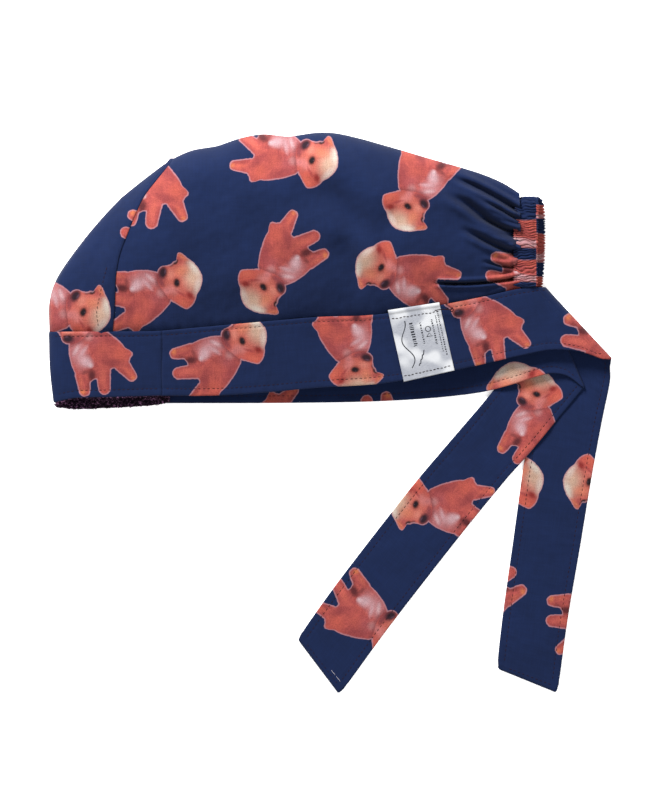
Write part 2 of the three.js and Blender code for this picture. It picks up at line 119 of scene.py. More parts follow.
def rows_at(where: Array, reach: Array, table: Array) -> Array:
    """Rows of a table whose rows lie at these reaches, read at other places."""
    return np.stack([np.interp(where, reach, column) for column in table.T], axis=-1)


def unit(vectors: Array, least: float = 1e-12) -> Array:
    """Vectors of length 1, with the coordinates last."""
    return vectors / np.maximum(np.linalg.norm(vectors, axis=-1, keepdims=True), least)

@dataclass(frozen=True)
class Rail:
    """A smooth curve through a few points of two or three coordinates."""

    knots: tuple[tuple[float, ...], ...]
    dense: Array = field(init=False, repr=False, compare=False)
    reach: Array = field(init=False, repr=False, compare=False)

    def __post_init__(self) -> None:
        """Works out the dense points and their distance along the curve."""
        dense = through(self.knots)
        object.__setattr__(self, "dense", dense)
        object.__setattr__(self, "reach", reach_along(dense))

    @property
    def length(self) -> float:
        """The curve's length."""
        return float(self.reach[-1])

    def at(self, share: Array) -> Array:
        """Points at these shares of the curve's length."""
        return rows_at(np.clip(np.asarray(share, float), 0, 1) * self.length, self.reach, self.dense)

    def y_at(self, x: Array) -> Array:
        """The second coordinate where the first one is x, on a curve that runs along +X."""
        return np.interp(x, self.dense[:, 0], self.dense[:, 1])

    def x_at(self, y: Array) -> Array:
        """The first coordinate where the second one is y, on a curve that runs along +Y."""
        return np.interp(y, self.dense[:, 1], self.dense[:, 0])


def nearest_on(run: Array, places: Array) -> tuple[Array, Array]:
    """The nearest spots on a run of straight lines.

    Args:
        run: the corners of the lines, a row each.
        places: places in plan, a row each.
    Returns:
        Each place's distance from the run, and the share of the run's length where it is nearest.
    """
    reach = reach_along(run)
    steps = np.linalg.norm(np.diff(run, axis=0), axis=1)
    best = np.full(len(places), np.inf)
    where = np.zeros(len(places))
    for k, (a, b) in enumerate(zip(run[:-1], run[1:])):
        along = b - a
        share = np.clip(((places - a) @ along) / max(along @ along, 1e-12), 0, 1)
        gap = np.linalg.norm(places - a - share[:, None] * along, axis=1)
        closer = gap < best
        best = np.where(closer, gap, best)
        where = np.where(closer, (reach[k] + share * steps[k]) / reach[-1], where)
    return best, where


@dataclass(frozen=True)
class Ripple:
    """Soft, seeded unevenness of cloth: a sum of waves of many directions."""

    seed: int
    shortest: float
    longest: float
    count: int = 14

    def at(self, x: Array, y: Array) -> Array:
        """Height of the unevenness.

        Args:
            x: places along X, mm.
            y: places along Y, mm.
        Returns:
            Heights from about -1 to 1.
        """
        rng = np.random.default_rng(self.seed)
        total = np.zeros(np.broadcast(x, y).shape)
        for _ in range(self.count):
            turn = rng.uniform(0, math.pi)
            length = math.exp(rng.uniform(math.log(self.shortest), math.log(self.longest)))
            wave = 2 * math.pi / length
            total += np.sin((x * math.cos(turn) + y * math.sin(turn)) * wave + rng.uniform(0, 6.28))
        return total / math.sqrt(self.count)


@dataclass(frozen=True)
class Crease:
    """A fold that runs along a line: a valley with a soft roll of cloth on each side."""

    line: tuple[Point, ...]
    depth: float
    width: float
    roll: float = 0.5
    fade_in: float = 0.35
    fade_out: float = 0.2

    def at(self, x: Array, y: Array) -> Array:
        """Height that the fold adds.

        Args:
            x: places along X, mm.
            y: places along Y, mm.
        Returns:
            Heights in mm, mostly below zero.
        """
        best, where = nearest_on(through(self.line, 8), np.stack([np.ravel(x), np.ravel(y)], axis=1))
        fade = smooth(0, self.fade_in, where) * (1 - smooth(1 - self.fade_out, 1, where) * 0.999)
        valley = np.exp(-((best / self.width) ** 2))
        rolls = np.exp(-(((best - 2.0 * self.width) / (1.1 * self.width)) ** 2))
        return (self.depth * fade * (self.roll * rolls - valley)).reshape(np.shape(x))


# ------------ the print
@dataclass(frozen=True)
class Placement:
    """One printed puppy: the spot between its front feet, mm, and its turn, degrees."""

    x: float
    y: float
    turn: float
    size: float = 1.0

    def local(self, at: Array) -> Array:
        """Places in mm as the puppy's own coordinates."""
        x, y = at[..., 0] - self.x, at[..., 1] - self.y
        c, s = math.cos(math.radians(self.turn)), math.sin(math.radians(self.turn))
        return np.stack([x * c + y * s, y * c - x * s], -1) / self.size


@dataclass(frozen=True)
class Toss:
    """The puppies that are printed on one layer of cloth."""

    puppies: tuple[Placement, ...]

    CORES = ((-15.0, 41.0, 13.0), (1.0, 24.0, 15.0), (-6.0, 6.0, 7.0), (5.0, 6.0, 6.0), (19.0, 13.0, 6.0))
    REACH = 9.0  # no part of a puppy is farther from its cores, mm

    def coordinates(self, corners: Array) -> Array:
        """Puppy coordinates for the corners of faces.

        Args:
            corners: faces by corners by 2, in mm.
        Returns:
            The same shape, in the coordinates of each face's nearest puppy, or far away where none is near.
        """
        out = np.full(corners.shape, NO_PRINT)
        best = np.full(len(corners), self.REACH)
        middle = corners.mean(axis=1)
        for puppy in self.puppies:
            place = puppy.local(middle)
            gap = np.min([np.hypot(place[:, 0] - x, place[:, 1] - y) - r for x, y, r in self.CORES], axis=0)
            gap = gap * puppy.size
            closer = gap < best
            best[closer] = gap[closer]
            out[closer] = puppy.local(corners[closer])
        return out

    @staticmethod
    def scattered(low: Point, high: Point, seed: int) -> "Toss":
        """A plain toss of puppies over a rectangle, for cloth that lies out of sight.

        Args:
            low: lowest x and y, mm.
            high: highest x and y, mm.
            seed: seed of the turns.
        Returns:
            The toss.
        """
        rng = np.random.default_rng(seed)
        puppies = []
        for row, y in enumerate(np.arange(low[1], high[1], 48.0)):
            for x in np.arange(low[0] + 32.0 * (row % 2), high[0], 64.0):
                puppies.append(Placement(float(x), float(y), float(rng.uniform(0, 360))))
        return Toss(tuple(puppies))


@dataclass(frozen=True)
class Tint:
    """A soft oval spot of colour in the puppy's own coordinates, mm, with its turn in degrees.

    It is full inside one share of the oval's radius and gone at another.
    """

    x: float
    y: float
    rx: float
    ry: float
    turn: float
    colour: Colour
    full: float = 0.2
    gone: float = 1.0
    strength: float = 1.0


@dataclass(frozen=True)
class Limb:
    """A leg: a line from the body to the foot, with its thickness on each side at both ends."""

    start: Point
    end: Point
    thick: float
    thin: float


@dataclass(frozen=True)
class Contour:
    """A closed outline that can all be seen from its centre, mm."""

    centre: Point
    points: tuple[Point, ...]
    stops: int = 64
    REACH = 40.0

    def table(self) -> tuple[Array, Array]:
        """Distance from the centre to the outline for a whole turn.

        Returns:
            Shares of the turn, from the left and against the clock, and the distances there in mm.
        """
        ring = np.array(self.points + self.points[:2])
        dense = through(ring, 16)[8:-8] - np.array(self.centre)
        angle = (np.arctan2(dense[:, 1], dense[:, 0]) + math.pi) / (2 * math.pi)
        order = np.argsort(angle)
        share = np.linspace(0, 1, self.stops + 1)
        reach = np.linalg.norm(dense, axis=1)[order]
        return share, np.interp(share, angle[order], reach, period=1.0)


@dataclass(frozen=True)
class PuppyPrint:
    """A plump standing puppy with a pale dome of a head and folded ears, in soft painted colours."""

    head: Contour = Contour((-15.0, 41.0), (
        (-2.6, 38.6), (-1.9, 41.6), (-1.0, 45.2), (-1.0, 48.0), (-3.0, 49.9), (-7.0, 51.3), (-10.6, 51.2),
        (-13.8, 52.0), (-17.5, 52.1), (-21.3, 50.9), (-25.0, 47.3), (-27.3, 43.4), (-28.7, 39.6),
        (-30.1, 35.6), (-29.5, 33.9), (-27.4, 34.3), (-25.8, 35.2), (-24.6, 33.6), (-22.4, 32.0),
        (-20.9, 30.2), (-20.2, 28.2), (-18.6, 26.7), (-16.2, 26.2), (-12.6, 27.0), (-9.0, 29.6), (-5.6, 34.0),
    ))
    trunk: Contour = Contour((0.0, 24.0), (
        (-4.6, 38.6), (-2.0, 38.4), (2.4, 36.8), (7.8, 33.8), (13.2, 29.8), (16.8, 26.4), (19.2, 25.6),
        (20.2, 23.6), (19.0, 21.4), (18.0, 17.0), (13.4, 14.4), (10.6, 15.2), (8.4, 13.8), (6.0, 9.0),
        (0.6, 8.0), (-5.0, 5.0), (-9.6, 7.6), (-11.6, 11.0), (-13.8, 15.6), (-15.4, 20.6), (-15.9, 24.6),
        (-15.8, 28.0), (-12.4, 33.4), (-8.4, 37.0),
    ))
    limbs: tuple[Limb, ...] = (
        Limb((4.4, 13.0), (5.9, 3.5), 4.4, 3.6), Limb((-6.6, 9.6), (-5.0, 1.2), 4.6, 3.3),
        Limb((14.8, 17.4), (20.6, 11.7), 4.6, 3.1),
    )
    melt: float = 0.9
    body_tints: tuple[Tint, ...] = (
        Tint(4, 33, 10, 4, -28, (158, 70, 74), 0.1, 1.2, 0.75),
        Tint(-2, 30, 5, 6, 0, (176, 88, 92), 0.1, 1.2, 0.7),
        Tint(12.8, 23.6, 6.6, 6.4, -30, (216, 102, 86), 0, 1.2, 0.8),
        Tint(3, 25, 5, 5, 0, (206, 98, 86), 0, 1.3, 0.6),
        Tint(9, 18.2, 6, 3, 0, (152, 66, 70), 0, 1.3, 0.75),
        Tint(4.6, 10, 2.8, 9, 6, (216, 106, 92), 0.1, 1.1, 0.8),
        Tint(8.4, 8, 1.6, 6, 6, (168, 76, 76), 0.1, 1.2, 0.6),
        Tint(19, 13.4, 2.4, 6, 48, (214, 104, 86), 0.1, 1.1, 0.8),
        Tint(16.4, 13, 1.6, 4.4, 46, (160, 70, 70), 0.1, 1.2, 0.6),
        Tint(-9.4, 21, 6.2, 11, 16, (208, 148, 152), 0.1, 1.15, 0.9),
        Tint(-13.2, 21.6, 2.4, 6, 10, (190, 122, 128), 0.1, 1.2, 0.7),
        Tint(-11.6, 23.4, 1.4, 4, -24, (224, 186, 190), 0, 1.3, 0.8),
        Tint(-7.6, 23, 1.4, 5, -30, (222, 178, 184), 0, 1.3, 0.7),
        Tint(-5.4, 17.4, 4.6, 3.8, -24, (224, 182, 188), 0.1, 1.2, 0.95),
        Tint(-2.9, 15.6, 1.8, 1.8, 0, (232, 204, 210), 0, 1.3, 0.8),
        Tint(-5.4, 31.6, 3, 3.2, -20, (206, 146, 146), 0.1, 1.3, 0.7),
        Tint(-1.6, 10, 2.8, 4.6, 8, (96, 40, 46), 0.25, 1.25, 0.95),
        Tint(-5.4, 11.4, 3, 1.6, 20, (128, 60, 62), 0.1, 1.3, 0.7),
        Tint(-7.4, 5.4, 1.8, 5, 8, (206, 104, 88), 0.1, 1.2, 0.8),
        Tint(-3.2, 4.4, 1.6, 4, 0, (140, 62, 62), 0.1, 1.2, 0.7),
        Tint(-6, 0.4, 2.4, 1.8, 0, (222, 128, 84), 0.1, 1.2, 0.9),
        Tint(6, 1.6, 2.6, 1.4, 0, (196, 90, 80), 0.1, 1.2, 0.8),
        Tint(21.6, 10.6, 1.8, 1.8, 0, (224, 126, 86), 0.1, 1.2, 0.8),
    )
    head_tints: tuple[Tint, ...] = (
        Tint(-15, 38, 12, 9, 20, (218, 118, 102), 0.3, 1.2, 0.85),
        Tint(-19.4, 46.4, 10.4, 7, 28, (222, 184, 160), 0.1, 1.25, 1),
        Tint(-24.6, 45.4, 6.6, 3, 52, (232, 220, 206), 0.1, 1.3, 0.9),
        Tint(-15.4, 50.4, 7, 2.6, 4, (228, 206, 194), 0.1, 1.3, 0.9),
        Tint(-20.4, 39, 3.6, 5, 30, (228, 136, 106), 0, 1.3, 0.8),
        Tint(-17, 33.8, 3.6, 2.6, 20, (230, 142, 124), 0, 1.3, 0.8),
        Tint(-9, 37.4, 3, 4.6, -10, (226, 138, 134), 0.1, 1.3, 0.75),
        Tint(-7, 34, 2.6, 3, 0, (212, 130, 130), 0.1, 1.3, 0.75),
        Tint(-4.8, 45.4, 4.4, 6.2, -10, (212, 98, 84), 0.55, 1.1, 1),
        Tint(-3.6, 45.2, 2.4, 4.2, -8, (224, 112, 92), 0.1, 1.2, 0.8),
        Tint(-8.8, 47.4, 1.9, 2.9, -24, (152, 48, 46), 0.2, 1.25, 0.95),
        Tint(-8.2, 42.6, 0.9, 4.6, -14, (176, 74, 74), 0.1, 1.4, 0.75),
        Tint(-28.2, 37.4, 1.8, 4.2, -16, (216, 122, 96), 0.3, 1.2, 0.9),
        Tint(-15.4, 28.6, 5.4, 3.6, 6, (140, 66, 72), 0.3, 1.2, 0.95),
        Tint(-10.8, 30.4, 2.6, 1.6, 50, (146, 70, 76), 0.2, 1.3, 0.85),
        Tint(-16.6, 29.4, 3.8, 2.7, 8, (52, 30, 42), 0.4, 1.2, 1),
        Tint(-17.4, 30.4, 1.6, 0.7, 10, (104, 72, 92), 0.1, 1.3, 0.7),
        Tint(-13.4, 38.4, 3.4, 2.6, 24, (132, 62, 56), 0.35, 1.25, 0.8),
        Tint(-13.3, 38.5, 2.5, 1.7, 26, (34, 22, 30), 0.5, 1.2, 1),
        Tint(-13.9, 39, 0.45, 0.4, 0, (120, 100, 116), 0.2, 1.3, 0.5),
        Tint(-24.2, 34.4, 2.3, 1.3, -30, (60, 32, 36), 0.35, 1.2, 1),
        Tint(-22, 32.6, 1.4, 1.2, -30, (112, 56, 58), 0.2, 1.3, 0.8),
    )
    coat: Colour = (202, 96, 88)
    coat_dark: Colour = (180, 82, 80)
    outline: Colour = (198, 150, 162)
    rim: float = 0.62
    under: float = 0.6
    under_colour: Colour = (136, 66, 72)
    ground: Colour = (21, 40, 84)


def linear(colour: Colour, gain: float = 1.0) -> tuple[float, float, float, float]:
    """A colour of 0 to 255 a channel as linear light."""
    parts = [c / 255 for c in colour]
    parts = [c / 12.92 if c <= 0.04045 else ((c + 0.055) / 1.055) ** 2.4 for c in parts]
    return (parts[0] * gain, parts[1] * gain, parts[2] * gain, 1.0)


class NodeSketch:
    """Adds shader nodes to a tree, with values or other nodes' sockets as inputs."""

    def __init__(self, tree: bpy.types.NodeTree) -> None:
        """Starts on an existing tree."""
        self.tree = tree

    def add(self, kind: str, **settings: object) -> bpy.types.Node:
        """A new node of this kind with its properties set."""
        node = self.tree.nodes.new(kind)
        for name, value in settings.items():
            setattr(node, name, value)
        return node

    def feed(self, socket: Socket, value: object) -> None:
        """Links a socket to another one, or sets its value."""
        if isinstance(value, Socket):
            self.tree.links.new(value, socket)
        else:
            socket.default_value = value

    def feed_all(self, node: bpy.types.Node, **values: object) -> None:
        """Feeds a node's inputs by name, with a low line for each space."""
        for name, value in values.items():
            self.feed(node.inputs[name.replace("_", " ")], value)

    def math(self, operation: str, *values: object, clamp: bool = False) -> Socket:
        """The result of a math node.

        Args:
            operation: what the node does.
            values: numbers or sockets, in the order of its inputs.
            clamp: True to keep the result from 0 to 1.
        Returns:
            The socket with the result.
        """
        node = self.add("ShaderNodeMath", operation=operation, use_clamp=clamp)
        for socket, value in zip(node.inputs, values):
            self.feed(socket, value)
        return node.outputs[0]

    def vector(self, operation: str, *values: object) -> Socket:
        """The result of a vector math node.

        Args:
            operation: what the node does.
            values: vectors or sockets, in the order of its inputs.
        Returns:
            The socket with the result, a number for a length or a dot product.
        """
        node = self.add("ShaderNodeVectorMath", operation=operation)
        for socket, value in zip(node.inputs, values):
            self.feed(socket, value)
        return node.outputs["Value" if operation in ("LENGTH", "DOT_PRODUCT") else "Vector"]

    def scaled(self, vector: object, scale: object) -> Socket:
        """A vector times a number."""
        node = self.add("ShaderNodeVectorMath", operation="SCALE")
        self.feed(node.inputs[0], vector)
        self.feed(node.inputs["Scale"], scale)
        return node.outputs[0]

    def split(self, vector: Socket) -> Sequence[Socket]:
        """The three coordinates of a vector."""
        node = self.add("ShaderNodeSeparateXYZ")
        self.feed(node.inputs[0], vector)
        return node.outputs

    def ramp(self, value: object, low: float, high: float, at_low: float = 0, at_high: float = 1) -> Socket:
        """A smooth step of a value.

        Args:
            value: what runs from low to high.
            low: where the step starts.
            high: where it ends.
            at_low: the result at low.
            at_high: the result at high.
        Returns:
            The socket with the result.
        """
        node = self.add("ShaderNodeMapRange", interpolation_type="SMOOTHSTEP")
        self.feed_all(node, Value=value, From_Min=low, From_Max=high, To_Min=at_low, To_Max=at_high)
        return node.outputs[0]

    def mix(self, share: object, a: object, b: object, way: str = "MIX") -> Socket:
        """One colour mixed over another.

        Args:
            share: how much of the second colour shows.
            a: the first colour.
            b: the second colour.
            way: how they are mixed.
        Returns:
            The socket with the mixed colour.
        """
        node = self.add("ShaderNodeMix", data_type="RGBA", blend_type=way)
        self.feed_all(node, Factor=share, A=a, B=b)
        return next(s for s in node.outputs if s.type == "RGBA")

    def noise(
        self, vector: object, scale: float, detail: float = 2.0, rough: float = 0.5, colour: bool = False
    ) -> Socket:
        """A noise texture.

        Args:
            vector: where the noise is read.
            scale: waves for each unit.
            detail: how many finer waves are added.
            rough: how strong they are.
            colour: True for three numbers, False for one.
        Returns:
            The socket with the noise.
        """
        node = self.add("ShaderNodeTexNoise", noise_dimensions="3D")
        self.feed_all(node, Vector=vector, Scale=scale, Detail=detail, Roughness=rough)
        return node.outputs["Color" if colour else "Fac"]

    def radius(self, vector: object, tint: Tint) -> Socket:
        """Distance from a spot's middle, 1 on its edge."""
        node = self.add("ShaderNodeMapping", vector_type="TEXTURE")
        turn, size = (0.0, 0.0, math.radians(tint.turn)), (tint.rx, tint.ry, 1.0)
        self.feed_all(node, Vector=vector, Location=(tint.x, tint.y, 0.0), Rotation=turn, Scale=size)
        return self.vector("LENGTH", node.outputs[0])

    def attribute(self, name: str) -> Socket:
        """A vector that the mesh holds."""
        return self.add("ShaderNodeAttribute", attribute_name=name).outputs["Vector"]

    def place(self) -> Socket:
        """The place on the object."""
        return self.add("ShaderNodeTexCoord").outputs["Object"]

    def bump(self, shader: bpy.types.Node, height: Socket, strength: float, distance: float) -> None:
        """Gives a finish a fine relief.

        Args:
            shader: the finish's shader node.
            height: the relief, about 0 to 1.
            strength: share of the relief that shows.
            distance: metres from its low to its high places.
        """
        node = self.add("ShaderNodeBump")
        self.feed_all(node, Strength=strength, Distance=distance, Height=height)
        self.feed(shader.inputs["Normal"], node.outputs[0])


@dataclass(frozen=True)
class PrintNodes:
    """Turns the puppy's description into shader nodes."""

    art: PuppyPrint = PuppyPrint()

    def contour(self, s: NodeSketch, place: Socket, shape: Contour) -> Socket:
        """Distance from a contour.

        Args:
            s: the sketch that gets the nodes.
            place: puppy coordinates.
            shape: the contour.
        Returns:
            The distance in mm, below zero inside.
        """
        arm = s.vector("SUBTRACT", place, (shape.centre[0], shape.centre[1], 0.0))
        part = s.split(arm)
        angle = s.math("ARCTAN2", part[1], part[0])
        share = s.math("MULTIPLY_ADD", angle, 1 / (2 * math.pi), 0.5)
        curve = s.add("ShaderNodeFloatCurve")
        line = curve.mapping.curves[0]
        shares, reaches = shape.table()
        for k, (where, reach) in enumerate(zip(shares, reaches / shape.REACH)):
            if k < 2:
                line.points[k].location = (where, reach)
            else:
                line.points.new(float(where), float(reach))
        curve.mapping.update()
        s.feed(curve.inputs["Value"], share)
        reach = s.math("MULTIPLY", curve.outputs[0], shape.REACH)
        return s.math("SUBTRACT", s.vector("LENGTH", arm), reach)

    def limb(self, s: NodeSketch, place: Socket, limb: Limb) -> Socket:
        """Distance from a limb.

        Args:
            s: the sketch that gets the nodes.
            place: puppy coordinates.
            limb: the limb.
        Returns:
            The distance in mm, below zero inside.
        """
        along = (limb.end[0] - limb.start[0], limb.end[1] - limb.start[1], 0.0)
        square = along[0] ** 2 + along[1] ** 2
        arm = s.vector("SUBTRACT", place, (limb.start[0], limb.start[1], 0.0))
        share = s.math("DIVIDE", s.vector("DOT_PRODUCT", arm, along), square, clamp=True)
        off = s.vector("LENGTH", s.vector("SUBTRACT", arm, s.scaled(along, share)))
        return s.math("SUBTRACT", off, s.math("MULTIPLY_ADD", share, limb.thin - limb.thick, limb.thick))

    def paint(self, s: NodeSketch, place: Socket, colour: Socket, tints: Sequence[Tint]) -> Socket:
        """A colour with soft spots laid over it.

        Args:
            s: the sketch that gets the nodes.
            place: puppy coordinates.
            colour: what lies under the spots.
            tints: the spots, the lowest first.
        Returns:
            The socket with the painted colour.
        """
        for tint in tints:
            share = s.ramp(s.radius(place, tint), tint.full, tint.gone, tint.strength, 0.0)
            colour = s.mix(share, colour, linear(tint.colour))
        return colour

    def group(self) -> bpy.types.NodeTree:
        """The node group that turns puppy coordinates into the printed colour.

        Returns:
            A group with a vector input and the colour as output.
        """
        art = self.art
        tree = bpy.data.node_groups.new("puppy_print", "ShaderNodeTree")
        tree.interface.new_socket("Place", in_out="INPUT", socket_type="NodeSocketVector")
        tree.interface.new_socket("Colour", in_out="OUTPUT", socket_type="NodeSocketColor")
        s = NodeSketch(tree)
        place = s.add("NodeGroupInput").outputs[0]
        stray = s.vector("SUBTRACT", s.noise(place, 0.5, 3.0, 0.6, colour=True), (0.5, 0.5, 0.5))
        fuzzy = s.vector("MULTIPLY", s.vector("ADD", place, s.scaled(stray, 0.9)), (1.0, 1.0, 0.0))
        body = self.contour(s, fuzzy, art.trunk)
        for limb in art.limbs:
            body = s.math("SMOOTH_MIN", body, self.limb(s, fuzzy, limb), art.melt)
        head = self.contour(s, fuzzy, art.head)
        fur = s.noise(place, 0.34, 4.0, 0.62)
        coat = s.mix(s.ramp(fur, 0.36, 0.66), linear(art.coat_dark), linear(art.coat))
        shaded = s.mix(s.ramp(body, -2.6, -0.3, 0.0, 0.35), coat, linear(art.coat_dark))
        trunk = self.paint(s, fuzzy, shaded, art.body_tints)
        trunk = s.mix(s.ramp(head, 0.0, 2.6, art.under, 0.0), trunk, linear(art.under_colour))
        colour = s.mix(s.ramp(head, -0.35, 0.25, 1.0, 0.0), trunk, self.paint(s, fuzzy, coat, art.head_tints))
        grain = s.noise(place, 1.6, 3.0, 0.7)
        grain = s.mix(s.ramp(grain, 0.3, 0.7), (0.78, 0.75, 0.76, 1), (1.22, 1.2, 1.2, 1))
        colour = s.mix(1.0, colour, grain, "MULTIPLY")
        edge = s.math("MINIMUM", body, head)
        colour = s.mix(s.ramp(edge, -0.95, -0.45, 0.0, art.rim), colour, linear(art.outline))
        slub = s.noise(place, 0.02, 2.0)
        ground = s.mix(s.ramp(slub, 0.3, 0.7), linear(art.ground, 0.95), linear(art.ground, 1.05))
        out = s.add("NodeGroupOutput")
        s.feed(out.inputs["Colour"], s.mix(s.ramp(edge, -0.15, 0.1, 1.0, 0.0), ground, colour))
        return tree


# ------------ finishes
def principled(name: str) -> tuple[Material, NodeSketch, bpy.types.Node]:
    """A new material with its sketch and its shader node."""
    material = bpy.data.materials.new(name)
    material.use_nodes = True
    return material, NodeSketch(material.node_tree), material.node_tree.nodes["Principled BSDF"]


@dataclass(frozen=True)
class PrintedCotton:
    """Navy plain-weave cotton with puppies printed on it."""

    art: PrintNodes = PrintNodes()
    pitch: float = 0.42
    gain: float = 0.36
    roughness: float = 0.92
    sheen: float = 0.02

    def build(self) -> Material:
        """Makes the print, the weave and the slubs.

        Returns:
            The material.
        """
        material, s, shader = principled("printed_cotton")
        weave = s.attribute(WEAVE)
        art = s.add("ShaderNodeGroup", node_tree=self.art.group())
        s.feed(art.inputs[0], s.attribute(PRINT))
        part = s.split(weave)
        turn = 2 * math.pi / self.pitch
        warp, weft = (s.math("SINE", s.math("MULTIPLY", part[k], turn)) for k in (0, 1))
        thread = s.math("MULTIPLY", warp, weft)
        streaks = ((0.09, 1.4, 0.0), (1.4, 0.09, 0.0))
        slub = s.math("ADD", *(s.noise(s.vector("MULTIPLY", weave, streak), 1.0, 2.0) for streak in streaks))
        worn = s.noise(weave, 0.045, 3.0, 0.6)
        tone = s.math("MULTIPLY", s.ramp(slub, 0.7, 1.3, 0.92, 1.08), s.ramp(worn, 0.3, 0.7, 0.93, 1.07))
        tone = s.math("MULTIPLY", tone, s.ramp(thread, -1.0, 1.0, 0.97, 1.03))
        tone = s.math("MULTIPLY", tone, self.gain)
        grey = s.add("ShaderNodeCombineColor")
        for socket in grey.inputs[:3]:
            s.feed(socket, tone)
        s.feed(shader.inputs["Base Color"], s.mix(1.0, art.outputs["Colour"], grey.outputs[0], "MULTIPLY"))
        shader.inputs["Roughness"].default_value = self.roughness
        shader.inputs["Specular IOR Level"].default_value = 0.1
        shader.inputs["Sheen Weight"].default_value = self.sheen
        shader.inputs["Sheen Roughness"].default_value = 0.6
        height = s.math("ADD", s.math("MULTIPLY", thread, 0.35), s.math("MULTIPLY", slub, 0.7))
        s.bump(shader, height, 0.25, 0.00012)
        return material


@dataclass(frozen=True)
class Towelling:
    """Dark plum looped towelling."""

    dark: Colour = (30, 12, 34)
    light: Colour = (196, 136, 186)

    def build(self) -> Material:
        """Makes the pale tips of the loops over the dark ground.

        Returns:
            The material.
        """
        material, s, shader = principled("dark_terry")
        place = s.place()
        loops = s.noise(place, 800.0, 3.0, 0.6)
        patch = s.noise(place, 240.0, 2.0)
        colour = s.mix(s.ramp(loops, 0.5, 0.66), linear(self.dark, 0.4), linear(self.light, 0.45))
        colour = s.mix(s.ramp(patch, 0.35, 0.65, 0.0, 0.6), colour, linear(self.dark, 0.4))
        s.feed(shader.inputs["Base Color"], colour)
        shader.inputs["Roughness"].default_value = 0.95
        shader.inputs["Specular IOR Level"].default_value = 0.1
        s.bump(shader, loops, 0.8, 0.0004)
        return material


@dataclass(frozen=True)
class Satin:
    """White woven satin ribbon."""

    white: Colour = (214, 217, 226)
    shade: Colour = (184, 188, 200)
    # painted_sheen: colour of the painted highlight patches that stand in for light on the satin's folds
    painted_sheen: Colour = (246, 248, 252)
    gain: float = 0.36

    def build(self) -> Material:
        """Makes the ribs of the weave and soft patches of painted sheen, a painted highlight where the
        satin's folds would catch the light.

        Returns:
            The material.
        """
        material, s, shader = principled("white_satin")
        weave = s.attribute(WEAVE)
        ribs = s.noise(s.vector("MULTIPLY", weave, (0.35, 6.0, 0.0)), 1.0, 2.0)
        colour = s.mix(s.ramp(ribs, 0.3, 0.7), linear(self.shade, self.gain), linear(self.white, self.gain))
        # painted sheen: bright patches that stand in for light caught on soft folds, not a colour of the
        # satin itself
        folds = s.noise(s.vector("MULTIPLY", weave, (0.055, 0.075, 0.0)), 1.0, 1.0)
        colour = s.mix(s.ramp(folds, 0.44, 0.6), colour, linear(self.painted_sheen, self.gain * 1.12))
        s.feed(shader.inputs["Base Color"], colour)
        shader.inputs["Roughness"].default_value = 0.3
        s.bump(shader, ribs, 0.25, 0.0001)
        return material


@dataclass(frozen=True)
class Thread:
    """Sewing thread or ink of one colour, with a little unevenness."""

    name: str
    colour: Colour
    roughness: float = 0.7

    def build(self) -> Material:
        """Makes the twist of the thread.

        Returns:
            The material.
        """
        material, s, shader = principled(self.name)
        twist = s.noise(s.place(), 2600.0, 2.0)
        colour = s.mix(s.ramp(twist, 0.3, 0.7), linear(self.colour, 0.3), linear(self.colour, 0.6))
        shader.inputs["Specular IOR Level"].default_value = 0.1
        s.feed(shader.inputs["Base Color"], colour)
        shader.inputs["Roughness"].default_value = self.roughness
        return material


class Wardrobe:
    """The finishes, made once."""

    def __init__(self) -> None:
        """Builds every material."""
        self.cotton = PrintedCotton().build()
        self.terry = Towelling().build()
        self.satin = Satin().build()
        self.thread = Thread("dark_thread", (40, 16, 26)).build()
        self.pale = Thread("pale_thread", (214, 206, 214)).build()
        self.ink = Thread("grey_ink", (58, 60, 68), 0.8).build()


# ------------ cloth as meshes
@dataclass
class Patch:
    """A grid of points on the middle of the cloth.

    points is rows by columns by 3, in mm. weave holds each point's place along the threads. half is half of
    the cloth's thickness, one number or one for each point. tosses holds the puppies, and pick the number of
    the toss for each face, where there is more than one.
    """

    points: Array
    weave: Array
    half: Array
    tosses: tuple[Toss, ...]
    pick: Array | None = None
    flipped: bool = False


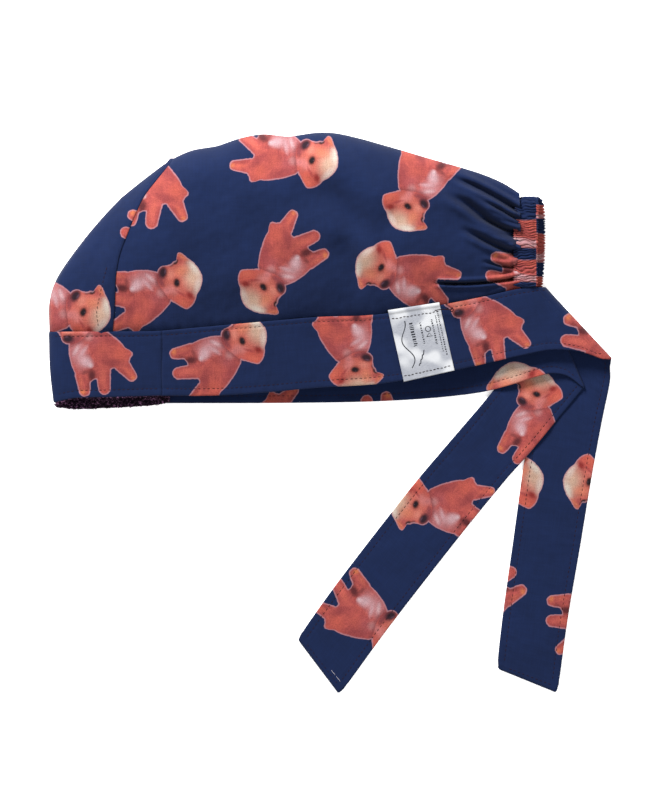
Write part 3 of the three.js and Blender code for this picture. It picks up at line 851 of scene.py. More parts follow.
class Cloth:
    """Joins patches into one closed, thickened sheet."""

    def __init__(self, patches: Sequence[Patch]) -> None:
        """Stacks the patches and joins the points that are the same.

        Args:
            patches: the cloth's parts.
        """
        points, weave, half, faces, prints = [], [], [], [], []
        first = 0
        for patch in patches:
            rows, columns = patch.points.shape[:2]
            grid = np.arange(rows * columns).reshape(rows, columns) + first
            quads = np.stack([grid[:-1, :-1], grid[:-1, 1:], grid[1:, 1:], grid[1:, :-1]], -1).reshape(-1, 4)
            corners = patch.points[..., :2].reshape(-1, 2)[quads - first]
            pick = np.zeros(len(quads), int) if patch.pick is None else patch.pick.reshape(-1)
            place = np.full(corners.shape, NO_PRINT)
            for number, toss in enumerate(patch.tosses):
                place[pick == number] = toss.coordinates(corners[pick == number])
            if patch.flipped:
                quads, place = quads[:, ::-1], place[:, ::-1]
            points.append(patch.points.reshape(-1, 3))
            weave.append(patch.weave.reshape(-1, 2))
            half.append(np.broadcast_to(patch.half, (rows, columns)).reshape(-1))
            faces.append(quads)
            prints.append(place)
            first += rows * columns
        points = np.vstack(points)
        keys = np.round(points * 2000).astype(np.int64)
        _, keep, joined = np.unique(keys, axis=0, return_index=True, return_inverse=True)
        self.points = points[keep]
        self.weave = np.vstack(weave)[keep]
        self.half = np.concatenate(half)[keep]
        self.faces = joined.reshape(-1)[np.vstack(faces)]
        self.prints = np.vstack(prints)

    def face_normals(self) -> Array:
        """A normal for each face, twice as long as the face's area."""
        a, b, c, d = (self.points[self.faces[:, k]] for k in range(4))
        return np.cross(c - a, d - b)

    def normals(self) -> Array:
        """A unit normal for each point.

        Returns:
            The normals, a row each.
        """
        face = self.face_normals()
        total = np.zeros_like(self.points)
        for k in range(4):
            np.add.at(total, self.faces[:, k], face)
        return unit(total)

    def build(self, name: str, material: Material) -> Piece:
        """The closed sheet as a Blender object.

        Args:
            name: the piece's name.
            material: its finish.
        Returns:
            The object, in metres in the row's frame.
        """
        count = len(self.points)
        offset = self.normals() * self.half[:, None]
        points = np.vstack([self.points + offset, self.points - offset])
        edges = np.vstack([np.stack([self.faces[:, k], self.faces[:, (k + 1) % 4]], 1) for k in range(4)])
        owner = np.tile(np.arange(len(self.faces)), 4)
        side = np.repeat(np.arange(4), len(self.faces))
        code = edges[:, 0].astype(np.int64) * count + edges[:, 1]
        back = edges[:, 1].astype(np.int64) * count + edges[:, 0]
        rim = ~np.isin(code, back) & (edges[:, 0] != edges[:, 1])
        a, b = edges[rim, 0], edges[rim, 1]
        rim_faces = np.stack([a, a + count, b + count, b], 1)
        here = self.prints[owner[rim], side[rim]]
        there = self.prints[owner[rim], (side[rim] + 1) % 4]
        faces = np.vstack([self.faces, self.faces[:, ::-1] + count, rim_faces])
        prints = np.vstack([self.prints, self.prints[:, ::-1], np.stack([here, here, there, there], 1)])
        return mesh_object(name, points, faces, material, prints, np.vstack([self.weave, self.weave]))


def mesh_object(
    name: str, points: Array, faces: Array, material: Material,
    prints: Array | None = None, weave: Array | None = None,
) -> Piece:
    """A smooth mesh object.

    Args:
        name: the piece's name.
        points: places in mm in the tables' frame.
        faces: four point numbers a row.
        material: its finish.
        prints: puppy coordinates, faces by 4 by 2.
        weave: places along the threads, a row a point.
    Returns:
        The object, in metres in the row's frame, linked to the scene.
    """
    mesh = bpy.data.meshes.new(name)
    mesh.vertices.add(len(points))
    mesh.vertices.foreach_set("co", ((points + ORIGIN) * MM).astype(np.float32).ravel())
    mesh.loops.add(len(faces) * 4)
    mesh.loops.foreach_set("vertex_index", faces.astype(np.int32).ravel())
    mesh.polygons.add(len(faces))
    mesh.polygons.foreach_set("loop_start", np.arange(0, len(faces) * 4, 4, dtype=np.int32))
    mesh.update(calc_edges=True)
    for label, domain, values in ((PRINT, "CORNER", prints), (WEAVE, "POINT", weave)):
        if values is not None:
            layer = mesh.attributes.new(label, "FLOAT_VECTOR", domain)
            full = np.concatenate([values, np.zeros(values.shape[:-1] + (1,))], -1)
            layer.data.foreach_set("vector", full.astype(np.float32).ravel())
    mesh.validate(verbose=False)
    mesh.shade_smooth()
    mesh.materials.append(material)
    thing = bpy.data.objects.new(name, mesh)
    bpy.context.scene.collection.objects.link(thing)
    return thing


def settle(thing: Piece, slot: Slot, *nodes: str) -> Piece:
    """Makes a piece ride on the cap and stand for its nodes.

    Args:
        thing: the piece.
        slot: its material slot; not used.
        nodes: the nodes that it replaces.
    Returns:
        The piece.
    """
    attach(thing, ROOT)
    if nodes:
        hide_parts(*nodes)
    LOG.info("%s: %d faces", thing.name, len(thing.data.polygons))
    return thing


def edge_round(gap: Array, half: float, radius: float) -> Array:
    """Half of the cloth's thickness near a folded edge, which is rounded.

    Args:
        gap: distance from the edge, mm.
        half: half of the thickness away from the edge.
        radius: how far in the rounding reaches.
    Returns:
        The half thickness at each place.
    """
    share = 1 - np.clip(gap / radius, 0, 1)
    return half * (0.22 + 0.78 * np.sqrt(np.clip(1 - share * share, 0, 1)))


def stitched(gap: Array, wave: Array, pucker: float) -> Array:
    """Relief beside a row of stitches.

    Args:
        gap: distance from the row, mm.
        wave: the puckers' waves along the row.
        pucker: their height, mm.
    Returns:
        Heights in mm.
    """
    return pucker * wave * np.exp(-((gap / 2.4) ** 2)) - 0.26 * np.exp(-((gap / 0.55) ** 2))


def rings_round(path: Array, aside: Array, up: Array, girth: float | Array, sides: int) -> Array:
    """Rings of points round a path.

    Args:
        path: the points of the path.
        aside: a unit vector across the path at each point, or one for all.
        up: the other one.
        girth: the rings' radius, one number or one for each ring.
        sides: points in a ring.
    Returns:
        Rings by sides by 3.
    """
    turns = np.arange(sides) / sides * 2 * math.pi
    girth = np.reshape(girth, (-1, 1, 1))
    aside, up = (np.broadcast_to(way, path.shape)[:, None] for way in (aside, up))
    ring = np.cos(turns)[None, :, None] * aside + np.sin(turns)[None, :, None] * up
    return path[:, None] + ring * girth


class Stitcher:
    """Collects stitches, each a small bent capsule of thread lying in the cloth."""

    SIDES = 6
    RINGS = np.array([0.0, 0.14, 0.5, 0.86, 1.0])
    GIRTH = np.array([0.25, 0.85, 1.0, 0.85, 0.25])
    DIP = np.array([-1.0, -0.25, 0.25, -0.25, -1.0])

    def __init__(self, seed: int) -> None:
        """Starts with no stitches."""
        self.rng = np.random.default_rng(seed)
        self.points: list[Array] = []
        self.faces: list[Array] = []
        self.count = 0

    def run(
        self, path: Array, up: Array, pitch: float = 2.6, share: float = 0.72, radius: float = 0.17
    ) -> None:
        """Sews along a path.

        Args:
            path: points on the cloth's surface, mm.
            up: the cloth's normal at each of them, or one for all.
            pitch: distance from stitch to stitch.
            share: share of the pitch that shows as thread.
            radius: the thread's radius.
        """
        up = np.broadcast_to(up, path.shape)
        reach = reach_along(path)
        starts = np.arange(pitch * 0.2, reach[-1] - pitch, pitch)
        for start in starts + self.rng.uniform(-0.06, 0.06, len(starts)) * pitch:
            places = start + self.RINGS * pitch * share
            middle = rows_at(places, reach, path)
            lift = unit(rows_at(places, reach, up))
            aside = np.cross(lift, unit(middle[-1] - middle[0], 1e-9))
            middle = middle + lift * (self.DIP[:, None] * radius) + aside * self.rng.uniform(-0.06, 0.06)
            self.tube(rings_round(middle, aside, lift, self.GIRTH * radius, self.SIDES))

    def tube(self, rings: Array, closed: bool = True) -> None:
        """Adds a tube through rings of points.

        Args:
            rings: the points, rings by sides by 3.
            closed: True to close both ends.
        """
        faces = tube_faces(*rings.shape[:2], closed)
        self.points.append(rings.reshape(-1, 3))
        self.faces.append(faces + self.count)
        self.count += rings.shape[0] * rings.shape[1]

    def build(self, name: str, material: Material) -> Piece:
        """All of the stitches as one object."""
        return mesh_object(name, np.vstack(self.points), np.vstack(self.faces), material)


def tube_faces(count: int, sides: int, closed: bool) -> Array:
    """Quads of a tube whose points run ring by ring.

    Args:
        count: number of rings.
        sides: points in a ring.
        closed: True to close both ends.
    Returns:
        Four point numbers a row.
    """
    grid = np.arange(count * sides).reshape(count, sides)
    turned = np.roll(grid, -1, axis=1)
    quads = np.stack([grid[:-1], turned[:-1], turned[1:], grid[1:]], -1).reshape(-1, 4)
    if not closed:
        return quads
    caps = []
    for ring, flip in ((grid[0], True), (grid[-1], False)):
        for k in range(sides // 2 - 1):
            quad = [ring[k], ring[k + 1], ring[sides - 2 - k], ring[sides - 1 - k]]
            caps.append(quad[::-1] if flip else quad)
    return np.vstack([quads, np.array(caps)])


# ------------ the shape that the cap lies in
class Lie:
    """How the cap lies: its outline, its seams and the height of its two layers."""

    BROW_TOP = (-157.2, 45.2)
    BROW_MIDDLE = (-156.6, 24)
    BROW_FOOT = (-154.6, 5.6)
    FOREHEAD = Rail((BROW_TOP, (-157.2, 62), (-153.6, 74), (-140.6, 93.4), (-127.2, 109.6), (-117.2, 120.2)))
    RIDGE = Rail((
        (-117.2, 120.2), (-90.4, 140.8), (-77, 147), (-63.8, 149.3), (-50.2, 153.8), (-37, 156),
        (-23.5, 154.7), (-10.1, 156.6), (3.4, 156.5), (30.2, 149.8), (57.1, 141.9), (84, 134), (97.2, 128.4),
        (104.6, 123.8),
    ))
    BROW = Rail((BROW_FOOT, BROW_MIDDLE, BROW_TOP))
    NEAR_SEAM = Rail((
        BROW_TOP, (-125, 45.4), (-94, 45.8), (-58.8, 49), (-8.4, 53.4), (24, 54.7), (58.8, 59.7),
        (85.7, 64.9), (103.9, 68.9),
    ))
    FAR_SEAM = Rail((
        BROW_TOP, (-125, 43.6), (-94, 43), (-20, 43.2), (24, 44.8), (60, 47.2), (82, 49.8), (104.4, 54),
    ))
    NEAR_HEM = Rail((BROW_FOOT, (-144, 8), (-122, 8.7), (-94, 9.5), (-64, 9.7)))
    FAR_HEM = Rail((BROW_FOOT, (-149, 3.4), (-122, 3.6), (-94, 5.2), (-64, 5.4)))
    LOFT = (
        # x, hem, seam, crown, rim, reach, lift
        (-157, 12.0, 15.5, 19.0, 7.0, 30, 0),
        (-94, 10.8, 16.0, 25.5, 5.2, 34, 0),
        (-20, 9.4, 15.4, 27.5, 4.8, 34, 0),
        (40, 9.4, 14.4, 25.0, 5.2, 30, 0),
        (85, 10.0, 12.6, 17.0, 6.2, 18, 0.6),
        (104, 10.6, 11.2, 11.2, 6.8, 9, 2.6),
    )
    COLUMNS = ("x", "hem", "seam", "crown", "rim", "reach", "lift")
    FAR_REACH = 7.0
    FULLEST = 0.5

    def __init__(self) -> None:
        """Works out the outline and the smooth columns of the loft."""
        dense = through(self.LOFT)
        self.loft = {name: dense[:, k] for k, name in enumerate(self.COLUMNS)}
        folds = (self.BROW, self.FOREHEAD, self.RIDGE)
        self.outline = np.vstack([rail.at(np.linspace(0, 1, 60)) for rail in folds])

    def column(self, name: str, x: Array) -> Array:
        """A column of the loft at any x."""
        return np.interp(x, self.loft["x"], self.loft[name])

    def rise(self, at: Array, reach: Array | float) -> Array:
        """How far the cloth has risen from the fold at the outline.

        Args:
            at: places in plan, mm.
            reach: how far in from the outline the cloth is at its full height.
        Returns:
            Shares of the full height.
        """
        gap, _ = nearest_on(self.outline, at.reshape(-1, 2))
        share = np.clip(gap.reshape(at.shape[:-1]) / reach, 0, 1)
        return np.sqrt(np.clip(1 - (1 - share) ** 2, 0, 1))

    def near(self, at: Array, up: Array, down: Array) -> Array:
        """Height of the upper layer.

        Args:
            at: places in plan, mm.
            up: way from the seam to the ridge, 0 to 1.
            down: way from the seam to the hem, 0 to 1.
        Returns:
            Heights in mm.
        """
        x = at[..., 0]
        seam, crown, hem = (self.column(name, x) for name in ("seam", "crown", "hem"))
        swell = np.sin(np.clip(up / self.FULLEST, 0, 1) * math.pi / 2)
        full = np.where(down > 0, blend(seam, hem, down), blend(seam, crown, swell))
        return blend(self.column("rim", x), full, self.rise(at, self.column("reach", x)))

    def far(self, at: Array, cloth: float) -> Array:
        """Height of the lower layer, flat on the surface but at the fold and by the casing.

        Args:
            at: places in plan, mm.
            cloth: the cloth's thickness, mm.
        Returns:
            Heights in mm.
        """
        x = at[..., 0]
        flat = cloth / 2 + np.maximum(self.column("lift", x), 0)
        return blend(self.column("rim", x), flat, self.rise(at, self.FAR_REACH))


def coons(bottom: Rail, top: Rail, left: Rail, right: Rail, a: Array, b: Array) -> Array:
    """Places inside four edges.

    Args:
        bottom: edge at b = 0, running with a.
        top: edge at b = 1, running with a.
        left: edge at a = 0, running with b.
        right: edge at a = 1, running with b.
        a: share along, any shape.
        b: share across, the same shape.
    Returns:
        Places in plan, with 2 coordinates last.
    """
    u, v = a[..., None], b[..., None]
    bl, br, tl, tr = (rail.at(np.array(end)) for rail in (bottom, top) for end in (0.0, 1.0))
    edges = bottom.at(a) * (1 - v) + top.at(a) * v + left.at(b) * (1 - u) + right.at(b) * u
    return edges - bl * (1 - u) * (1 - v) - br * u * (1 - v) - tl * (1 - u) * v - tr * u * v


# ------------ crown
@dataclass
class Crown:
    """The bag over the head: two layers, folded over at the ridge, with a tuck over the temple."""

    lie: Lie
    cloth: float = 0.5
    columns: int = 250
    rows: int = 158
    far_columns: int = 90
    far_rows: int = 44
    lead_share: float = 0.2
    tuck_rise: float = 1.1
    tuck_in: float = 9.0
    tuck_line: Rail = Rail((
        (-122.6, 40.0), (-121.8, 48.4), (-121.0, 57), (-120.6, 66), (-120.0, 77), (-118.0, 88), (-113.6, 100),
        (-109.2, 111.0), (-104.2, 121.2), (-97.5, 130.0), (-90.7, 138.4), (-86, 144.5),
    ))
    tuck_seam: Rail = Rail((
        (-129.6, 47.5), (-130.4, 56.3), (-128.6, 66), (-125.6, 78), (-121.0, 92), (-114.5, 106),
    ))
    tuck_fold: tuple[tuple[float, float, float], ...] = (
        # way in: mm past the edge, or below zero a share of the depth; share of the rise; drop in mm
        (0.26, 0.5, 0.0), (0.1, 0.2, 0.0), (-0.25, 0.0, -0.25), (-0.55, 0.0, -0.35), (-0.97, 0.0, -0.4),
        (-1.0, 0.0, -0.65), (-0.97, 0.0, -0.95), (-0.5, 0.0, -0.95), (-0.1, 0.0, -0.7),
    )
    creases: tuple[Crease, ...] = (
        Crease(((57, 72.8), (72, 72.2), (88, 73.0), (108, 75.8)), 7.5, 0.95, 0.24, 0.16, 0.02),
        Crease(((62, 124), (76, 117), (88, 108), (106, 98)), 5.4, 2.4, 0.5, 0.4, 0.02),
        Crease(((72, 104), (86.4, 96.6), (106, 88)), 4.4, 1.7, 0.5, 0.4, 0.02),
        Crease(((66, 133), (79.4, 127.4), (93, 120.5), (106, 113)), 4.4, 1.6, 0.5, 0.35, 0.02),
        Crease(((84, 85), (95, 82.5), (106, 81.2)), 2.6, 1.0, 0.6, 0.4, 0.02),
        Crease(((82, 110), (95, 104.4), (106, 101.4)), 3.0, 1.1, 0.5, 0.4, 0.02),
        Crease(((88, 92.6), (98, 92.2), (106, 92)), 1.5, 1.1, 0.6, 0.5, 0.02),
        Crease(((86, 118.6), (97, 112.9), (106, 108)), 2.8, 1.0, 0.6, 0.4, 0.02),
        Crease(((-22, 133), (0, 121), (16, 104), (22, 86)), 3.0, 8.0, 0.35, 0.4, 0.4),
        Crease(((2, 104), (12, 84), (20, 64)), 2.6, 6.0, 0.35, 0.4, 0.4),
        Crease(((-50, 124), (-42, 98), (-28, 72)), 1.6, 8.0, 0.3, 0.4, 0.4),
        Crease(((40, 122), (30, 98), (34, 70)), 1.6, 7.0, 0.3, 0.4, 0.4),
        Crease(((-100, 120), (-86, 94), (-80, 64)), 1.2, 8.0, 0.3, 0.4, 0.4),
        Crease(((40, 141), (60, 129), (84, 121)), 1.6, 4.0, 0.4, 0.4, 0.4),
    )
    main: Toss = Toss((
        Placement(-106.6, 104.6, -18, 1.04), Placement(-126.3, 71.0, -107), Placement(-45.7, 160.4, -138),
        Placement(-4.0, 93.6, 106), Placement(70.0, 143.8, 118, 0.96), Placement(60.0, 56.6, 33, 0.98),
        Placement(89.8, 83.2, -116, 0.95),
    ))
    temple: Toss = Toss((Placement(-176.5, 74.8, -135, 1.05), Placement(-113.7, 107.0, -123, 0.94)))
    near_points: Array = field(init=False, repr=False)

    @property
    def lead(self) -> int:
        """The number of the column on the tuck's edge."""
        return int(self.columns * self.lead_share)

    def relief(self, x: Array, y: Array) -> Array:
        """Folds, gathers and unevenness of the upper layer.

        Args:
            x: places along X, mm.
            y: places along Y, mm.
        Returns:
            Heights in mm.
        """
        height = sum(crease.at(x, y) for crease in self.creases)
        height = height + 0.5 * Ripple(11, 22, 70).at(x, y) + 0.1 * Ripple(12, 5, 14).at(x, y)
        to_back = smooth(78, 105, x)
        angle = np.arctan2(y - 96.0, 60.0 - (x - 104.0))
        gather = np.sin(angle * 62 + 1.4 * np.sin(angle * 17)) * 0.55 + 0.35 * np.sin(angle * 103 + 1.0)
        height = height + 1.15 * to_back ** 1.4 * gather
        seam = np.clip(y - self.lie.NEAR_SEAM.y_at(x), 0, None)
        pucker = np.sin(x * 0.78 + 1.1 * np.sin(x * 0.13)) + 0.6 * np.sin(x * 1.31 + 2)
        height = height + 0.16 * pucker * np.exp(-seam / 5.0)
        return height - 1.7 * np.exp(-seam / 2.6)

    def edges(self, seam: Rail, foot: Point, back: tuple[Point, ...]) -> tuple[Rail, Rail, Rail, Rail]:
        """The edges of one layer.

        Args:
            seam: where the layer meets its band.
            foot: where that edge ends under the casing.
            back: points of the back edge between its ends.
        Returns:
            The lower, upper, front and back edge.
        """
        line = seam.dense.copy()
        line[:, 1] -= np.interp(line[:, 0], [-157.2, -150], [0.0, 2.6])
        bottom = Rail(tuple(map(tuple, line[::12])) + (foot,))
        top = Rail(tuple(map(tuple, self.lie.RIDGE.dense[::10])) + ((106.2, 122.6),))
        return bottom, top, self.lie.FOREHEAD, Rail((tuple(bottom.dense[-1]), *back, tuple(top.dense[-1])))

    def near_patch(self) -> Patch:
        """The upper layer, with the cloth of the tuck folded into its columns.

        Returns:
            The patch.
        """
        lie = self.lie
        edges = self.edges(lie.NEAR_SEAM, (106.8, 67.2), ((106.8, 92), (106.6, 112)))
        b = 1 - (1 - np.linspace(0, 1, self.rows + 1)) ** 1.35
        dense = np.linspace(0, 1, 1400)
        lines = coons(*edges, *np.meshgrid(dense, b))
        split = [np.interp(0.0, line[:, 0] - self.tuck_line.x_at(line[:, 1]), dense) for line in lines]
        before = np.linspace(0, 1, self.lead + 1) ** 0.75
        after = np.linspace(0, 1, self.columns - self.lead + 1)
        after = after * 0.82 + 0.18 * np.sin(after * math.pi / 2) ** 2
        a = np.stack([np.concatenate([before * s, s + (1 - s) * after]) for s in split])
        b = np.broadcast_to(b[:, None], a.shape)
        at = coons(*edges, a, b)
        z = lie.near(at, b, np.zeros(a.shape))
        return self.fold_tuck(at, z + self.relief(at[..., 0], at[..., 1]) * lie.rise(at, 14.0))

    def fold_tuck(self, at: Array, z: Array) -> Patch:
        """Puts the tuck's hidden cloth between the two parts of the upper layer.

        Args:
            at: places in plan, rows by columns by 2, with the tuck's edge doubled at column lead.
            z: their heights.
        Returns:
            The patch, with the part at the temple printed with its own puppies.
        """
        lead = self.lead
        edge_x, y = at[:, lead, 0], at[:, lead, 1]
        rise = self.tuck_rise * (1 - 0.62 * smooth(96, 146, y))
        before = at[..., : lead + 1, 0] - edge_x[:, None]
        depth = blend(np.full(len(y), self.tuck_in), np.full(len(y), 2.0), smooth(70, 140, y))
        depth = np.minimum(depth, blend(0.7, 0.12, smooth(112, 130, y)) * np.abs(before[:, 0]))
        swell = smooth(-15, -3.5, before) - 0.35 * smooth(-1.2, 0.0, before)
        z_before = z[:, : lead + 1] + rise[:, None] * swell
        columns, heights = [], []
        for into, share, drop in self.tuck_fold:
            reach = np.full(len(y), into) if into > 0 else into * depth
            base = np.array([np.interp(*line) for line in zip(reach, before, z[:, : lead + 1])])
            columns.append(np.stack([edge_x + reach, y], 1))
            heights.append(base + share * rise + drop)
        after = at[..., lead + 1 :, 0] - edge_x[:, None]
        z_after = z[:, lead + 1 :] - 0.5 * np.exp(-np.clip(after, 0, None) / 1.0)
        place = np.concatenate([at[:, : lead + 1], np.stack(columns, 1), at[:, lead + 1 :]], 1)
        height = np.concatenate([z_before, np.stack(heights, 1), z_after], 1)
        height[-1] = self.lie.column("rim", place[-1, :, 0])
        height[:, 0] = self.lie.column("rim", place[:, 0, 0])
        pick = np.zeros((place.shape[0] - 1, place.shape[1] - 1), int)
        pick[:, : lead + 2] = 1
        pick[:, lead + 2 : lead + len(self.tuck_fold)] = 2
        self.near_points = np.concatenate([place, height[..., None]], -1)
        tosses = (self.main, self.temple, Toss(()))
        return Patch(self.near_points, place, np.array(self.cloth / 2), tosses, pick)

    def far_patch(self) -> Patch:
        """The lower layer, which meets the upper one along the folded edges.

        Returns:
            The patch.
        """
        lie = self.lie
        edges = self.edges(lie.FAR_SEAM, (107.4, 52.0), ((107.4, 80), (107.2, 108)))
        a = np.linspace(0, 1, self.far_columns + 1) ** 1.4
        b = 1 - (1 - np.linspace(0, 1, self.far_rows + 1)) ** 1.5
        at = coons(*edges, *np.meshgrid(a, b))
        z = lie.far(at, self.cloth)
        z = z + 0.12 * (1 + Ripple(21, 12, 50).at(at[..., 0], at[..., 1])) * lie.rise(at, 25.0) * 0.5
        z[:, 0] = lie.column("rim", at[:, 0, 0])
        z[-1] = lie.column("rim", at[-1, :, 0])
        points = np.concatenate([at, z[..., None]], -1)
        toss = Toss.scattered((-150, 20), (100, 170), 5)
        return Patch(points, at, np.array(self.cloth / 2), (toss,), None, True)

    def dress(self, wardrobe: Wardrobe) -> Piece:
        """Args:
            wardrobe: the finishes.
        Returns:
            The crown.
        """
        cloth = Cloth([self.near_patch(), self.far_patch()])
        thing = settle(cloth.build("crown", wardrobe.cotton), Slot.COTTON, "crown")
        return thing

    def surface(self, at: Array) -> Array:
        """Height of the upper layer's top near the tuck.

        Args:
            at: places in plan, a row each, mm.
        Returns:
            Heights in mm.
        """
        grid = self.near_points[:, : self.lead + 1].reshape(-1, 3)
        out = []
        for x, y in at:
            gap = (grid[:, 0] - x) ** 2 + (grid[:, 1] - y) ** 2
            near = np.argpartition(gap, 4)[:4]
            weight = 1 / (gap[near] + 1e-6)
            out.append((grid[near, 2] * weight).sum() / weight.sum())
        return np.array(out) + self.cloth / 2

    def topstitch(self, stitcher: Stitcher) -> None:
        """Sews the line that holds the tuck over the temple."""
        line = self.tuck_seam.at(np.linspace(0, 1, 90))[:52]
        stitcher.run(np.column_stack([line, self.surface(line)]), UP, 2.5, 0.8, 0.2)


# ------------ bands that run on into the ties
@dataclass(frozen=True)
class Ruling:
    """A straight line across the strip, from its upper edge to its lower edge, mm."""

    ux: float
    uy: float
    uz: float | None
    lx: float
    ly: float
    lz: float | None


@dataclass(frozen=True)
class Turn:
    """The fold where a tie turns under: its line, the ways in and out, and the heights above and below."""

    ux: float
    uy: float
    lx: float
    ly: float
    into: Point
    out: Point
    u_top: float
    l_top: float
    below: float
    reach: float

    def rulings(self, facets: int) -> list[Ruling]:
        """The rulings round the fold.

        Args:
            facets: number of flat parts in the round.
        Returns:
            The rulings, from the upper ply to the lower one.
        """
        fold = unit(np.array([self.lx - self.ux, self.ly - self.uy]))
        into, out = unit(np.array(self.into)), unit(np.array(self.out))
        lines = []
        for k in range(facets + 1):
            angle = math.pi * (0.5 - k / facets)
            way = -into if angle > 0 else out
            x, y = way * self.reach * (1 - math.cos(angle)) / abs(way[0] * fold[1] - way[1] * fold[0])
            share = (1 + math.sin(angle)) / 2
            upper, lower = (blend(self.below, top, share) for top in (self.u_top, self.l_top))
            lines.append(Ruling(self.ux + x, self.uy + y, upper, self.lx + x, self.ly + y, lower))
        return lines


@dataclass
class SideBand:
    """A side band of the cap that runs on into its tie: two plies of cotton, topstitched along both edges."""

    name: str
    node: str
    lie: Lie
    body: tuple[Ruling, ...]
    turn: Turn
    leg: tuple[Ruling, ...]
    curl: float
    on_body: Toss
    on_leg: Toss
    seed: int
    half: float = 0.6
    step: float = 0.95
    across: int = 44
    span: int = 24
    facets: int = 14
    hem_line: float = 4.0
    top_line: float = 2.6
    leg_line: float = 4.0
    flat: Point = (0.04, 0.42)
    points: Array = field(init=False, repr=False)
    ups: Array = field(init=False, repr=False)
    along: Array = field(init=False, repr=False)
    width: Array = field(init=False, repr=False)
    share: Array = field(init=False, repr=False)
    first_leg: float = field(init=False, repr=False)

    def lines(self) -> list[Ruling]:
        """All rulings, with the heights of those that lie on the body of the cap filled in.

        Returns:
            The rulings, from the seam to the tie's end.
        """
        full = []
        for r in self.body:
            if r.uz is None:
                top = float(self.lie.near(np.array([[r.ux, r.uy]]), np.zeros(1), np.full(1, 1e-6))[0])
                low = float(self.lie.near(np.array([[r.lx, r.ly]]), np.zeros(1), np.ones(1))[0])
                full.append(Ruling(r.ux, r.uy, top, r.lx, r.ly, low))
            else:
                full.append(r)
        return full + self.turn.rulings(self.facets) + list(self.leg)

    def relief(self, along: Array, across: Array, width: Array, leg: Array) -> Array:
        """Height that stitching, puckers and softness add.

        Args:
            along: distance along the strip, mm.
            across: distance from the upper edge, mm.
            width: the strip's width there, mm.
            leg: 0 on the cap's body and 1 on the tie.
        Returns:
            Heights in mm.
        """
        line_low = blend(np.full(along.shape, self.hem_line), np.full(along.shape, self.leg_line), leg)
        line_top = blend(np.full(along.shape, self.top_line), np.full(along.shape, self.leg_line), leg)
        total = 0.22 * Ripple(self.seed, 18, 60).at(along, across)
        total = total + 0.05 * Ripple(self.seed + 1, 4, 10).at(along, across)
        wave = np.sin(along * 1.02 + 1.2 * np.sin(along * 0.11))
        wave = wave + 0.7 * np.sin(along * 1.73 + 0.8 * np.sin(along * 0.23))
        for gap, line in ((width - across, line_low), (across, line_top)):
            total = total + stitched(gap - line, wave, 0.10)
        return total

    def grid(self) -> Patch:
        """The fine grid of the whole strip.

        Returns:
            The patch, on the middle of the cloth.
        """
        rulings = self.lines()
        upper = through([(r.ux, r.uy, r.uz) for r in rulings], self.span)
        lower = through([(r.lx, r.ly, r.lz) for r in rulings], self.span)
        reach = reach_along((upper + lower) / 2)
        along = np.linspace(0, reach[-1], int(reach[-1] / self.step) + 1)
        turn_at = reach[(len(self.body) + self.facets // 2) * self.span]
        near_turn = np.arange(turn_at - 7, turn_at + 7, 0.3)
        along = np.unique(np.concatenate([along[(along < turn_at - 7) | (along > turn_at + 7)], near_turn]))
        up, low = rows_at(along, reach, upper), rows_at(along, reach, lower)
        share = np.linspace(0, 1, self.across + 1)
        share = 0.5 - 0.5 * np.cos(share * math.pi) * (0.75 + 0.25 * np.cos(share * math.pi) ** 2)
        share = share[::-1, None]
        grid = blend(up[None], low[None], share[..., None])
        grid[..., 2] = blend(up[None, :, 2], low[None, :, 2], share ** self.curl)
        width = np.linalg.norm(low - up, axis=1)[None] * np.ones((len(share), 1))
        across = share * width
        whole = along[None] * np.ones_like(across)
        leg = smooth(turn_at - 4, turn_at + 4, whole)
        lift = self.relief(whole, across, width, leg)
        calm = 1 - 0.85 * np.exp(-(((along - turn_at) / 5.0) ** 2))[None]
        sign = np.where(leg > 0.5, -1.0, 1.0)
        grid = self.round_corners(grid, along[-1] - along)
        normals = unit(np.cross(np.gradient(grid, axis=1), np.gradient(grid, axis=0)))
        grid = grid + normals * (lift * calm * sign)[..., None]
        grid[..., 2] = np.maximum(grid[..., 2], self.half + 0.02)
        ends = np.minimum(whole - along[0], along[-1] - whole)
        half = np.minimum(
            edge_round(np.minimum(across, width - across), self.half, 1.0), edge_round(ends, self.half, 1.0)
        )
        pick = (0.25 * (leg[:-1, :-1] + leg[1:, :-1] + leg[:-1, 1:] + leg[1:, 1:]) > 0.5).astype(int)
        self.points, self.ups = grid, normals * sign[..., None]
        self.along, self.width, self.first_leg, self.share = along, width[0], turn_at, share[:, 0]
        return Patch(grid, np.stack([whole, across], -1), half, (self.on_body, self.on_leg), pick)

    @staticmethod
    def round_corners(grid: Array, left: Array) -> Array:
        """Rounds the two corners of the tie's free end a little.

        Args:
            grid: points of the strip.
            left: distance from each column to the free end, mm.
        Returns:
            The changed points.
        """
        rows = np.arange(len(grid))
        for edge in (0, len(grid) - 1):
            pull = np.exp(-left / 2.4)[None] * np.exp(-np.abs(rows - edge) / 3.5)[:, None]
            inward = grid[len(grid) // 2][None] - grid
            inward[..., 2] = 0
            grid = grid + unit(inward, 1e-9) * (2.6 * pull)[..., None]
        return grid

    def dress(self, wardrobe: Wardrobe) -> Piece:
        """Args:
            wardrobe: the finishes.
        Returns:
            The band with its tie.
        """
        cloth = Cloth([self.grid()])
        thing = settle(cloth.build(self.name, wardrobe.cotton), Slot.COTTON, self.node)
        return thing

    def spots(self, column: int, share: Array | float) -> tuple[Array, Array]:
        """Points on the middle of the strip, and the normals there.

        Args:
            column: number of the column of points.
            share: shares of the width, from the upper edge.
        Returns:
            The points and the normals.
        """
        order = np.argsort(self.share)
        tables = (self.points[order, column], self.ups[order, column])
        points, ups = (rows_at(share, self.share[order], table) for table in tables)
        return points, ups

